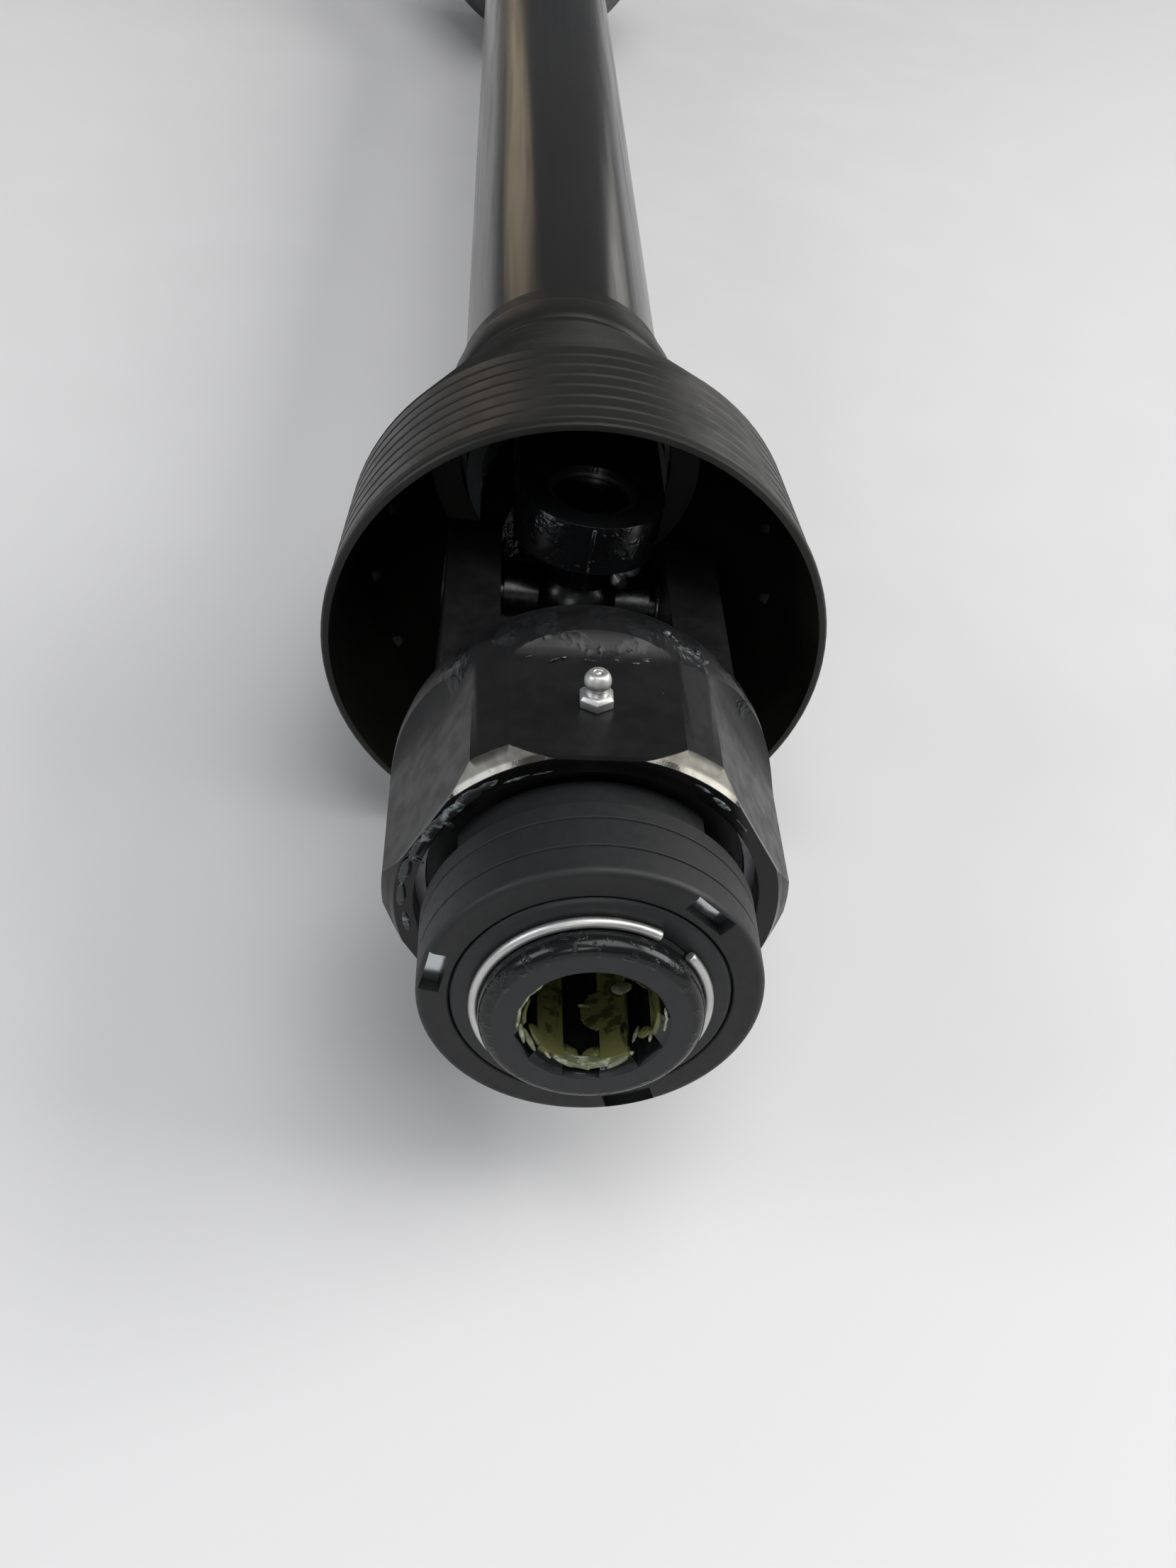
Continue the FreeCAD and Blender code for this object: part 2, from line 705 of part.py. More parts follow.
def make_cups(node, joint, rotation):
    """Two bearing cups pressed into one yoke."""
    bore = size.trunnion_radius + 0.05
    cups = []
    for side in (0, 180):
        cup = turned(f"{node}_{side}", [
            (bore, size.cup_start), (size.cup_radius - 0.8, size.cup_start),
            (size.cup_radius, size.cup_start + 0.8), (size.cup_radius, size.cup_end - 0.6),
            (size.cup_radius - 0.6, size.cup_end), (0, size.cup_end),
            (0, size.trunnion_end + 0.1), (bore, size.trunnion_end + 0.1)])
        turn = rotation.multiply(FreeCAD.Rotation(Vector(1, 0, 0), side))
        cups.append(put(cup, (0, joint, 0), turn))
    keep(group(node + "_pair", cups), node)


def make_snap_rings(node, joint, rotation):
    """The two rings that hold a yoke's cups."""
    rings = []
    for side in (0, 180):
        ring = turned(f"{node}_{side}", [
            (size.cup_radius - 2, size.cup_end + 0.05), (size.cup_radius + 0.8, size.cup_end + 0.05),
            (size.cup_radius + 0.8, size.cup_end + 1.45), (size.cup_radius - 2, size.cup_end + 1.45)])
        pocket(ring, f"{node}_{side}_gap", "XZ_Plane", lambda s: polygon(s, box_corners(-3, 3, 5, 20)), 4,
               offset=-(size.cup_end - 1))
        turn = rotation.multiply(FreeCAD.Rotation(Vector(1, 0, 0), side))
        rings.append(put(ring, (0, joint, 0), turn))
    keep(group(node + "_pair", rings), node)


# Telescoping shaft


def trilobe(sketch, corner, radius):
    """A triangle with round corners: three arcs and three tangent lines."""
    corner, radius = as_size(corner), as_size(radius)
    arcs, lines = [], []
    spots = []
    for i in range(3):
        turn = 90 + 120 * i
        c, s = math.cos(math.radians(turn)), math.sin(math.radians(turn))
        spots.append((corner * round(c, 6), corner * round(s, 6), turn))
        x, y = corner.value * c, corner.value * s
        arc = Part.ArcOfCircle(Part.Circle(Vector(x, y, 0), Vector(0, 0, 1), radius.value),
                               math.radians(turn - 60), math.radians(turn + 60))
        arcs.append((sketch.addGeometry(arc, False), arc))
    for i in range(3):
        a, b = arcs[i][1], arcs[(i + 1) % 3][1]
        lines.append(sketch.addGeometry(Part.LineSegment(a.EndPoint, b.StartPoint), False))
    for i in range(3):
        sketch.addConstraint(Sketcher.Constraint("Tangent", arcs[i][0], 2, lines[i], 1))
        sketch.addConstraint(Sketcher.Constraint("Tangent", lines[i], 2, arcs[(i + 1) % 3][0], 1))
        hold_point(sketch, arcs[i][0], 3, spots[i][0], spots[i][1])
    held = sketch.addConstraint(Sketcher.Constraint("Radius", arcs[0][0], radius.value))
    sketch.setExpression(f"Constraints[{held}]", radius.formula)
    for i in (1, 2):
        sketch.addConstraint(Sketcher.Constraint("Equal", arcs[0][0], arcs[i][0]))


def make_profile_tube(node, shrink, start, end):
    """One triangular tube of the telescope; shrink brings its outside in."""
    start, end = as_size(start), as_size(end)
    outer = size.profile_round - shrink
    tube = pad(node + "_body", "XZ_Plane", lambda s: trilobe(s, size.profile_corner, outer), end - start,
               offset=-start, backwards=True)
    pocket(tube, node + "_bore", "XZ_Plane",
           lambda s: trilobe(s, size.profile_corner, outer - size.profile_wall), end - start, offset=-start)
    return tube


def make_shaft_yoke(word, joint, side, profile_shrink):
    """Yoke on the shaft: ears up and down, hub over the profile tube, ring groove."""
    root = joint + as_size(side * 48)
    hub_end = joint + side * 42 + side * size.yoke_hub_length
    radius = size.yoke_hub_radius
    groove_near = root + side * 28
    groove_far = root + side * 37
    hub = turned(f"shaft_yoke_{word}_hub", [
        (0, joint + as_size(side * 36)), (22, joint + as_size(side * 36)), (radius, root),
        (radius, groove_near), (radius - size.ring_groove_depth, groove_near),
        (radius - size.ring_groove_depth, groove_far), (radius, groove_far),
        (radius, hub_end - side * 2), (radius - 2, hub_end), (0, hub_end)])
    arms = make_yoke_arms(f"shaft_yoke_{word}", joint, joint + as_size(side * 44), as_size(side * 25))
    flat = fuse(f"shaft_yoke_{word}_across", arms)
    bored = cut(f"shaft_yoke_{word}_bored", flat, ear_bores(f"shaft_yoke_{word}", joint))
    put(bored, (0, 0, 0), FreeCAD.Rotation(Vector(0, 1, 0), 90))
    socket = pad(f"shaft_yoke_{word}_socket", "XZ_Plane",
                 lambda s: trilobe(s, size.profile_corner, size.profile_round - profile_shrink + 0.05),
                 size.yoke_hub_length, offset=-(root + side * 4), backwards=side > 0)
    pin = pin_cylinder(f"shaft_yoke_{word}_pin_hole", joint, side, 5)
    whole = fuse(f"shaft_yoke_{word}_whole", [hub, bored])
    keep(cut(f"shaft_yoke_{word}_cut", whole, [socket, pin]), f"shaft_yoke_{word}")
    return root


def pin_cylinder(name, joint, side, radius):
    reach = size.yoke_hub_radius + 3
    return cylinder(name, radius, reach * 2, (-reach, joint + as_size(side * 64), 0), (1, 0, 0))


def make_roll_pin(word, joint, side):
    """Slotted spring pin through the yoke's hub and the profile tube."""
    reach = size.yoke_hub_radius
    pin = turned(f"roll_pin_{word}_body", [(3, -reach), (4.4, -reach), (5, -reach + 1.2), (5, reach - 1.2),
                                           (4.4, reach), (3, reach)])
    pocket(pin, f"roll_pin_{word}_slot", "XZ_Plane", lambda s: polygon(s, box_corners(-0.6, 0.6, 1, 8)),
           reach * 2 + 2, offset=reach + 1)
    put(pin, (0, joint + as_size(side * 64), 0), TO_X)
    keep(pin, f"roll_pin_{word}")


def make_shaft():
    for word, joint, side, shrink in (("a", size.joint_a, 1, as_size(0)),
                                      ("b", size.joint_b, -1, size.profile_wall + size.profile_gap)):
        root = make_shaft_yoke(word, joint, side, shrink)
        make_roll_pin(word, joint, side)
        foot = root + side * 4.2
        name = "outer" if word == "a" else "inner"
        start, end = (foot, size.outer_profile_end) if side > 0 else (size.inner_profile_start, foot)
        tube = make_profile_tube("profile_tube_" + name, shrink, start, end)
        hole = pin_cylinder(f"profile_tube_{name}_pin_hole", joint, side, 5)
        keep(cut(f"profile_tube_{name}_cut", tube, [hole]), "profile_tube_" + name)


# Guard


def stepped(start, end, steps):
    """An outside line as bands that each end in a small step inwards."""
    corners = []
    for i in range(1, steps + 1):
        part = round(i / steps, 5)
        radius = start[0] * (1 - part) + end[0] * part
        place = start[1] * (1 - part) + end[1] * part
        corners += [(radius + size.bell_lip, place - 0.4), (radius, place)]
    return corners


def make_cone(node, side, tube):
    """Bell of the guard: beaded rim, stepped skirt and cone, and a neck with a raised band."""
    rim, rim_radius = size.bell_rim, size.bell_rim_radius
    bend = (size.bell_bend_radius, size.bell_bend)
    neck = (size.bell_neck_radius, size.bell_neck)
    skirt_start = (rim_radius - size.bell_lip, rim + 3.6)
    bead = [(rim_radius - 1.2, rim), (rim_radius, rim + 0.8), (rim_radius, rim + 3), skirt_start]
    bell = stepped(skirt_start, bend, 7) + stepped(bend, neck, 9)
    dip, band = size.neck_dip_radius, size.neck_band_radius
    front, back = size.neck_band_front, size.neck_band_back
    top = [(dip, neck[1] + 3), (dip, front - 1), (band, front), (band, back), (band - 1, back + 1.5),
           (size.neck_end_radius, back + 2), (size.neck_end_radius, size.bell_end)]
    wall, throat = size.bell_wall, size.tube_start - 4
    inside = [(tube, size.bell_end), (tube, throat), (neck[0] + 2.5, throat), (bend[0] - wall, bend[1] - 1),
              (rim_radius - wall, rim + 4), (rim_radius - wall, rim)]
    corners = bead + bell + top + inside
    if side < 0:
        shift = size.joint_a + size.joint_b
        corners = [(r, shift - y) for r, y in corners]
    keep(turned(node + "_body", corners), node)


def make_guard_tube(node, outer, start, end):
    keep(turned(node + "_body", box_corners(outer - size.tube_wall, outer, start, end)), node)


def make_bearing_ring(node, joint, side, tube):
    """Split plastic ring: runs in the yoke's groove and carries the guard tube."""
    near = joint + as_size(side * 76.4)
    far = joint + as_size(side * 84.6)
    end = joint + as_size(side * 100)
    inner = size.yoke_hub_radius - size.ring_groove_depth + 0.3
    carry = tube - size.tube_wall
    ring = turned(node + "_body", [(inner, near), (carry - 0.05, near), (carry - 0.05, end), (carry - 2.2, end),
                                   (carry - 2.2, far), (inner, far)])
    pocket(ring, node + "_split", "XZ_Plane", lambda s: polygon(s, box_corners(-1.5, 1.5, 20, 45)), 60,
           offset=-(joint + as_size(side * 90 - 30)))
    keep(ring, node)


# Tractor end


def make_tractor_yoke():
    """Yoke with a six-spline bore and the cross bore of its release pin."""
    joint = size.joint_b
    root = joint + as_size(44)
    radius = size.tractor_hub_radius
    mouth = size.tractor_mouth
    hub = turned("tractor_hub", [(0, joint + 44), (20, joint + 44), (32, joint + 50), (30, joint + 56),
                                 (radius, joint + 60), (radius, mouth - 1.5), (radius - 1.5, mouth), (0, mouth)])
    arms = make_yoke_arms("tractor_yoke", joint, joint + 58, as_size(25))
    boss = cylinder("tractor_pin_boss", 12, 44, (radius - 7, tractor_pin_place(), -22), (0, 0, 1))
    bore = cylinder("tractor_bore", size.spline_minor_radius, mouth - joint, (0, joint + as_size(38), 0), (0, 1, 0))
    mouth_cone = doc.addObject("Part::Cone", "tractor_bore_mouth")
    mouth_cone.setExpression("Radius1", size.spline_minor_radius.formula)
    mouth_cone.setExpression("Radius2", (size.spline_major_radius + 0.8).formula)
    mouth_cone.Height = 3.3
    put(mouth_cone, (0, mouth - 3.2, 0), FreeCAD.Rotation(Vector(0, 0, 1), Vector(0, 1, 0)))
    grooves = [block(f"tractor_groove_{i}", (size.spline_groove_width, mouth - joint, size.spline_major_radius),
                     (0, 0, 0)) for i in range(6)]
    for i, groove in enumerate(grooves):
        x, z = polar(size.spline_groove_width.value / 2, 60 * i + 90)
        place = Vector(-x, (size.joint_b.value + 38), -z)
        groove.Placement = FreeCAD.Placement(place, FreeCAD.Rotation(Vector(0, 1, 0), 60 * i))
    pin_bore = cylinder("tractor_pin_bore", 6.55, 60, (tractor_pin_across(), tractor_pin_place(), -30), (0, 0, 1))
    spring_bore = cylinder("tractor_spring_bore", 8.6, 24, (tractor_pin_across(), tractor_pin_place(), 2), (0, 0, 1))
    whole = fuse("tractor_yoke_whole", [hub, boss] + arms)
    tools = [bore, mouth_cone, pin_bore, spring_bore] + grooves + ear_bores("tractor_yoke", joint)
    keep(cut("tractor_yoke_cut", whole, tools), "tractor_yoke")


def tractor_pin_place():
    return size.tractor_mouth - 32


def tractor_pin_across():
    return size.spline_minor_radius + 6.2


def make_push_pin():
    """Release pin: pushed in by its head against the spring, its waist frees the shaft."""
    pin = turned("push_pin_body", [(0, -25.5), (5.2, -25.5), (6.5, -24.2), (6.5, -0.5), (5.2, 1.9), (3.6, 4.6),
                                   (3.6, 27), (7.5, 27), (8.3, 27.8), (8.3, 31), (7.3, 32), (0, 32)])
    put(pin, (tractor_pin_across(), tractor_pin_place(), 0), TO_Z)
    keep(pin, "push_pin")
    make_coil("push_pin_spring", 6.4, 0.8, 24.6, 5,
              (tractor_pin_across(), tractor_pin_place(), 2.2), (0, 0, 1))


def make_all():
    make_clutch_housing()
    make_clutch_hub()
    make_keys()
    make_closing_parts()
    make_grease_nipple("housing_nipple", "grease_nipple", nipple_seat(size.housing_flat), nipple_direction())
    make_release_collar()
    make_locking_sleeve()
    make_balls()
    make_front_rings()
    spring_back = size.hub_shoulder_front
    spring_front = size.collar_back - 1.5
    make_coil("collar_spring", 29.4, 1, spring_back - spring_front - 0.2, 3,
              (0, spring_front + 0.1, 0), (0, 1, 0))
    for word, joint in (("a", size.joint_a), ("b", size.joint_b)):
        make_cross(word, joint)
        make_cups("cups_shaft_yoke_" + word, joint, TO_Z)
        make_snap_rings("snap_rings_shaft_yoke_" + word, joint, TO_Z)
    for word, joint in (("clutch_yoke", size.joint_a), ("tractor_yoke", size.joint_b)):
        make_cups("cups_" + word, joint, TO_X)
        make_snap_rings("snap_rings_" + word, joint, TO_X)
    make_shaft()
    shift = size.joint_a + size.joint_b
    inner_tube = size.tube_radius - size.tube_wall - 0.4
    make_cone("cone_a", 1, size.tube_radius)
    make_cone("cone_b", -1, inner_tube)
    make_guard_tube("guard_tube_outer", size.tube_radius, size.tube_start, size.outer_tube_end)
    make_guard_tube("guard_tube_inner", inner_tube, size.inner_tube_start, shift - size.tube_start)
    make_bearing_ring("bearing_ring_a", size.joint_a, 1, size.tube_radius)
    make_bearing_ring("bearing_ring_b", size.joint_b, -1, inner_tube)
    make_tractor_yoke()
    make_push_pin()


def check_all():
    """Stops where any object failed or any node has no sound solid."""
    doc.recompute()
    for feature in doc.Objects:
        if "Invalid" in feature.State or "Error" in feature.State:
            raise RuntimeError(f"{feature.Name} failed: {feature.State}")
    for node in nodes:
        shape = node.Shape
        if shape.isNull() or not shape.isValid() or not shape.Solids:
            raise RuntimeError(f"{node.Label} has no sound solid")


make_all()
check_all()
for node in nodes:
    node.Shape.exportStep(f"parts/{node.Label}.step")
    print(f"{node.Label}: {len(node.Shape.Solids)} solid, {node.Shape.Volume:.0f} cubic mm")
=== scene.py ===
import json
import math

import bpy
from mathutils import Euler, Matrix, Vector

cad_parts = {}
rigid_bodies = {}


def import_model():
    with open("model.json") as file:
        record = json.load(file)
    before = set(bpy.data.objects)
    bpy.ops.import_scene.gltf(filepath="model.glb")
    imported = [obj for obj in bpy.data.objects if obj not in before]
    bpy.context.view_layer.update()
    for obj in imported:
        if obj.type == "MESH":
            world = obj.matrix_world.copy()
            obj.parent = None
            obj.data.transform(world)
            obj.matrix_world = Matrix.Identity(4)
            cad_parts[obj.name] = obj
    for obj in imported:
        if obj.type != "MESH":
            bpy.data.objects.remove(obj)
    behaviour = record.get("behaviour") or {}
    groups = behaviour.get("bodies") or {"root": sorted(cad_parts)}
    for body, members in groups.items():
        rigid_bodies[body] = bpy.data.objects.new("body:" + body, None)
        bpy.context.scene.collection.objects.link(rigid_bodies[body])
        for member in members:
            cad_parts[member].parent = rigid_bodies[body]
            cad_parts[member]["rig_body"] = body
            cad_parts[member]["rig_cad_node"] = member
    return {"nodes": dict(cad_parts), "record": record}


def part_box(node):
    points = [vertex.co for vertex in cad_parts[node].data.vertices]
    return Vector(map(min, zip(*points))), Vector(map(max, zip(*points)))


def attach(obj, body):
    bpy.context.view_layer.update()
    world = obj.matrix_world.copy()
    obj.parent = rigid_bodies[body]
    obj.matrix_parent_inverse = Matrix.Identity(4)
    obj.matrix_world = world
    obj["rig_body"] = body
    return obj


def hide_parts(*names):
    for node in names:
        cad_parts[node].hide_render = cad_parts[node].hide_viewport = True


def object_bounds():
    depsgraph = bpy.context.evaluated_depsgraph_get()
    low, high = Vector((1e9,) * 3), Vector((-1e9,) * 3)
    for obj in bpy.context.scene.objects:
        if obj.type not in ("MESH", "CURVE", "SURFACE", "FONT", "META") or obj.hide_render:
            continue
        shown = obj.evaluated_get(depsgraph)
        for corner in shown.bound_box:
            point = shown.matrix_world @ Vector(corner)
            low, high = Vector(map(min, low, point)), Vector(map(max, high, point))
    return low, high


bl_info = {
    "name": "PTO drive shaft looks",
    "version": (1, 0, 0),
    "blender": (4, 5, 0),
    "location": "3D View > Sidebar > Drive shaft",
    "description": "Dresses a packed drive shaft: collar, hub, clutch, joints, guard, stage and lights",
    "category": "Object",
}

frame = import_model()
cad_low, cad_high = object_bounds()

MM = 0.001

# Places on the shaft in millimetres, and the turn of the collar's windows in degrees
JOINT_A = 172
JOINT_B = 1032
HOUSING_FRONT = 39.6
OUTER_TUBE_RADIUS = 36.6
INNER_TUBE_RADIUS = 34.0
HOUSING_NIPPLE_FOOT = 46.0
CROSS_NIPPLE_FOOT = 15.0
WINDOW_TURN = 37
WINDOW_RADIUS = 37.0
WINDOW_PLATE_PLACE = 12.9
EAR_RADIUS = 32.2
SEAM_FROM_JOINT = 21.5


# Sizes that a user would change


class ShaftSizes(bpy.types.PropertyGroup):
    """Sizes and places of the modelled pieces, and where the camera stands."""

    edge: bpy.props.FloatProperty(
        name="Edge", description="Width of the broken edges on steel parts",
        default=0.35 * MM, min=0, unit="LENGTH")
    nipple_ball: bpy.props.FloatProperty(
        name="Nipple ball", description="Radius of a grease nipple's ball head",
        default=3.3 * MM, min=0, unit="LENGTH")
    nipple_hexagon: bpy.props.FloatProperty(
        name="Nipple hexagon", description="Radius of a grease nipple's hexagon over its corners",
        default=4.6 * MM, min=0, unit="LENGTH")
    plate_size: bpy.props.FloatVectorProperty(
        name="Window plate", description="Size of the bright plate at the bottom of each window",
        default=(11.9 * MM, 1.6 * MM, 4.5 * MM), subtype="XYZ", unit="LENGTH")
    seam_size: bpy.props.FloatVectorProperty(
        name="Forging seam", description="Width, height and length of the seam on a yoke's ear",
        default=(1.3 * MM, 1.2 * MM, 14.0 * MM), subtype="XYZ", unit="LENGTH")
    camera_place: bpy.props.FloatVectorProperty(
        name="Camera place", description="Camera position with the clutch turned as the photograph has it",
        default=(1.9 * MM, -248.6 * MM, 282.8 * MM), subtype="TRANSLATION", unit="LENGTH")
    camera_down: bpy.props.FloatProperty(
        name="Looking down", description="Angle of the camera below the horizon",
        default=math.radians(40.24), unit="ROTATION")
    camera_roll: bpy.props.FloatProperty(
        name="Camera roll", description="Turn of the picture about its middle",
        default=math.radians(-2.91), unit="ROTATION")
    clutch_turn: bpy.props.FloatProperty(
        name="Clutch turn", description="How far the shaft is turned clockwise in the photograph",
        default=math.radians(11), unit="ROTATION")
    lens: bpy.props.FloatProperty(
        name="Lens", description="Focal length for a 36 mm long side", default=37.66, min=1)


class ShaftColours(bpy.types.PropertyGroup):
    """Base colours of the finishes."""

    paint: bpy.props.FloatVectorProperty(
        name="Paint", description="Satin black paint on the forgings",
        default=(0.0045, 0.0045, 0.005), subtype="COLOR", min=0, max=1)
    steel: bpy.props.FloatVectorProperty(
        name="Blackened steel", description="Hub, washer and sleeve",
        default=(0.016, 0.017, 0.0185), subtype="COLOR", min=0, max=1)
    collar: bpy.props.FloatVectorProperty(
        name="Collar", description="Moulded plastic of the collar",
        default=(0.0095, 0.010, 0.011), subtype="COLOR", min=0, max=1)
    cone: bpy.props.FloatVectorProperty(
        name="Cone", description="Moulded plastic of the guard cones",
        default=(0.010, 0.010, 0.009), subtype="COLOR", min=0, max=1)
    grease: bpy.props.FloatVectorProperty(
        name="Grease", description="Grease in the bore",
        default=(0.135, 0.14, 0.05), subtype="COLOR", min=0, max=1)
    smeared_grease: bpy.props.FloatVectorProperty(
        name="Smeared grease", description="Pale grease at the mouth of the bore",
        default=(0.33, 0.36, 0.27), subtype="COLOR", min=0, max=1)
    floor: bpy.props.FloatVectorProperty(
        name="Floor", description="The plain floor",
        default=(0.60, 0.60, 0.61), subtype="COLOR", min=0, max=1)


def sizes():
    return bpy.context.scene.shaft_sizes


def colours():
    return bpy.context.scene.shaft_colours


# Finishes


class Finish:
    """A material built up node by node on Object coordinates, in millimetres."""

    def __init__(self, name, colour, roughness, metallic=0.0):
        self.material = bpy.data.materials.new(name)
        self.material.use_nodes = True
        self.tree = self.material.node_tree
        self.shader = self.tree.nodes["Principled BSDF"]
        self.shader.inputs["Base Color"].default_value = (*colour, 1)
        self.shader.inputs["Roughness"].default_value = roughness
        self.shader.inputs["Metallic"].default_value = metallic
        coordinates = self.tree.nodes.new("ShaderNodeTexCoord")
        self.place = self.tree.nodes.new("ShaderNodeMapping")
        self.place.inputs["Scale"].default_value = (1 / MM, 1 / MM, 1 / MM)
        self.tree.links.new(coordinates.outputs["Object"], self.place.inputs["Vector"])
        self.point = self.place.outputs["Vector"]
        self.height = None

    def add(self, kind, inputs=(), **settings):
        """A node with its settings and its inputs, numbers or other nodes' outputs, by name or place."""
        node = self.tree.nodes.new(kind)
        for setting, value in settings.items():
            setattr(node, setting, value)
        for key, value in dict(inputs).items():
            self.feed(node.inputs[key], value)
        return node

    def feed(self, socket, value):
        if isinstance(value, bpy.types.NodeSocket):
            self.tree.links.new(value, socket)
        else:
            socket.default_value = value

    def sums(self, operation, first, second=0.0):
        return self.add("ShaderNodeMath", {0: first, 1: second}, operation=operation).outputs[0]

    def noise(self, grain, detail=2.0, stretch=(1, 1, 1), harshness=0.5):
        """Noise whose lumps are about grain millimetres across, longer where stretch is more."""
        scale = [1 / (grain * share) for share in stretch]
        moved = self.add("ShaderNodeMapping", {"Vector": self.point, "Scale": scale})
        made = self.add("ShaderNodeTexNoise", {"Vector": moved.outputs[0], "Scale": 1.0, "Detail": detail,
                                               "Roughness": harshness})
        return made.outputs[0]

    def between(self, value, low, high, to_low=0.0, to_high=1.0):
        """Value carried from low..high to to_low..to_high, clamped and smooth at both ends."""
        ends = {"From Min": low, "From Max": high, "To Min": to_low, "To Max": to_high}
        made = self.add("ShaderNodeMapRange", {"Value": value, **ends}, interpolation_type="SMOOTHSTEP")
        return made.outputs[0]

    def lines_along(self, value, per_millimetre):
        """Noise that changes only with one value, such as the place along the shaft."""
        stretched = self.sums("MULTIPLY", value, per_millimetre)
        made = self.add("ShaderNodeTexNoise", {"W": stretched, "Scale": 1.0, "Detail": 3.0},
                        noise_dimensions="1D")
        return made.outputs[0]

    def specks(self, spacing, size, share):
        """Small round specks in a share of cells that are spacing millimetres across."""
        moved = self.add("ShaderNodeMapping", {"Vector": self.point, "Scale": [1 / spacing] * 3})
        cells = self.add("ShaderNodeTexVoronoi", {"Vector": moved.outputs[0], "Scale": 1.0})
        near = self.between(cells.outputs["Distance"], size / spacing, size * 0.5 / spacing)
        split = self.add("ShaderNodeSeparateColor", {0: cells.outputs["Color"]})
        chosen = self.sums("GREATER_THAN", split.outputs[0], 1 - share)
        return self.sums("MULTIPLY", near, chosen)

    def axes(self):
        split = self.add("ShaderNodeSeparateXYZ", {0: self.point})
        return split.outputs["X"], split.outputs["Y"], split.outputs["Z"]

    def radius(self):
        """Distance from the shaft's axis, in millimetres."""
        across, _, up = self.axes()
        squares = self.sums("ADD", self.sums("MULTIPLY", across, across), self.sums("MULTIPLY", up, up))
        return self.sums("SQRT", squares)

    def tint(self, amount, colour):
        """Lays a colour over what the base colour is so far, by an amount from 0 to 1."""
        mixed = self.add("ShaderNodeMix", data_type="RGBA")
        base = self.shader.inputs["Base Color"]
        if base.is_linked:
            self.tree.links.new(base.links[0].from_socket, mixed.inputs[6])
        else:
            mixed.inputs[6].default_value = base.default_value
        self.feed(mixed.inputs[0], amount)
        self.feed(mixed.inputs[7], (*colour, 1))
        self.tree.links.new(mixed.outputs[2], base)

    def turn_to(self, socket_name, amount, value):
        """Moves a plain number socket towards value by an amount from 0 to 1."""
        socket = self.shader.inputs[socket_name]
        mixed = self.add("ShaderNodeMix", data_type="FLOAT")
        if socket.is_linked:
            self.tree.links.new(socket.links[0].from_socket, mixed.inputs[2])
        else:
            mixed.inputs[2].default_value = socket.default_value
        self.feed(mixed.inputs[0], amount)
        self.feed(mixed.inputs[3], value)
        self.tree.links.new(mixed.outputs[0], socket)

    def raise_by(self, height, depth):
        """Adds a height pattern, depth millimetres deep, to the surface."""
        scaled = self.sums("MULTIPLY", height, depth * MM)
        self.height = scaled if self.height is None else self.sums("ADD", self.height, scaled)

    def done(self):
        if self.height is not None:
            bump = self.add("ShaderNodeBump", {"Height": self.height, "Distance": 1.0, "Strength": 1.0})
            self.tree.links.new(bump.outputs[0], self.shader.inputs["Normal"])
        return self.material


def dust(finish, share=0.03, size=0.16):
    """A few pale specks of dust, as lie on black parts."""
    finish.tint(finish.sums("MULTIPLY", finish.specks(3.1, size, share), 0.45), (0.25, 0.25, 0.25))


def painted_forging(name="black_paint", streaks=0.0, roughness=0.30):
    """Satin black paint: slight orange peel, duller and shinier patches, dust."""
    made = Finish(name, colours().paint, roughness)
    made.shader.inputs["Specular IOR Level"].default_value = 0.40
    made.tint(made.between(made.noise(14, 3), 0.4, 0.7, 0, 0.6), (0.009, 0.009, 0.0095))
    made.turn_to("Roughness", made.between(made.noise(5, 3), 0.3, 0.75), roughness + 0.12)
    made.raise_by(made.noise(0.9, 2), 0.010)
    made.raise_by(made.noise(7, 2), 0.03)
    if streaks:
        made.raise_by(made.noise(0.35, 2, (1, 28, 1)), streaks)
    dust(made)
    return made


def wet_forging():
    """Paint of the yokes, glossy with a film of grease thrown on it, and raised drops with painted glints.
    """
    made = painted_forging("wet_paint", roughness=0.18)
    made.shader.inputs["Specular IOR Level"].default_value = 0.8
    film = made.between(made.noise(11, 4, harshness=0.6), 0.42, 0.56)
    made.turn_to("Roughness", film, 0.10)
    made.tint(film, (0.006, 0.007, 0.008))
    made.raise_by(made.sums("MULTIPLY", film, made.noise(2.8, 3)), 0.35)
    drops = made.specks(7.0, 1.1, 0.16)
    made.raise_by(drops, 0.5)
    # The pale tint on the drops is painted highlight: painted glints on the raised grease drops
    made.tint(made.sums("MULTIPLY", drops, 0.35), (0.10, 0.11, 0.11))
    return made.done()


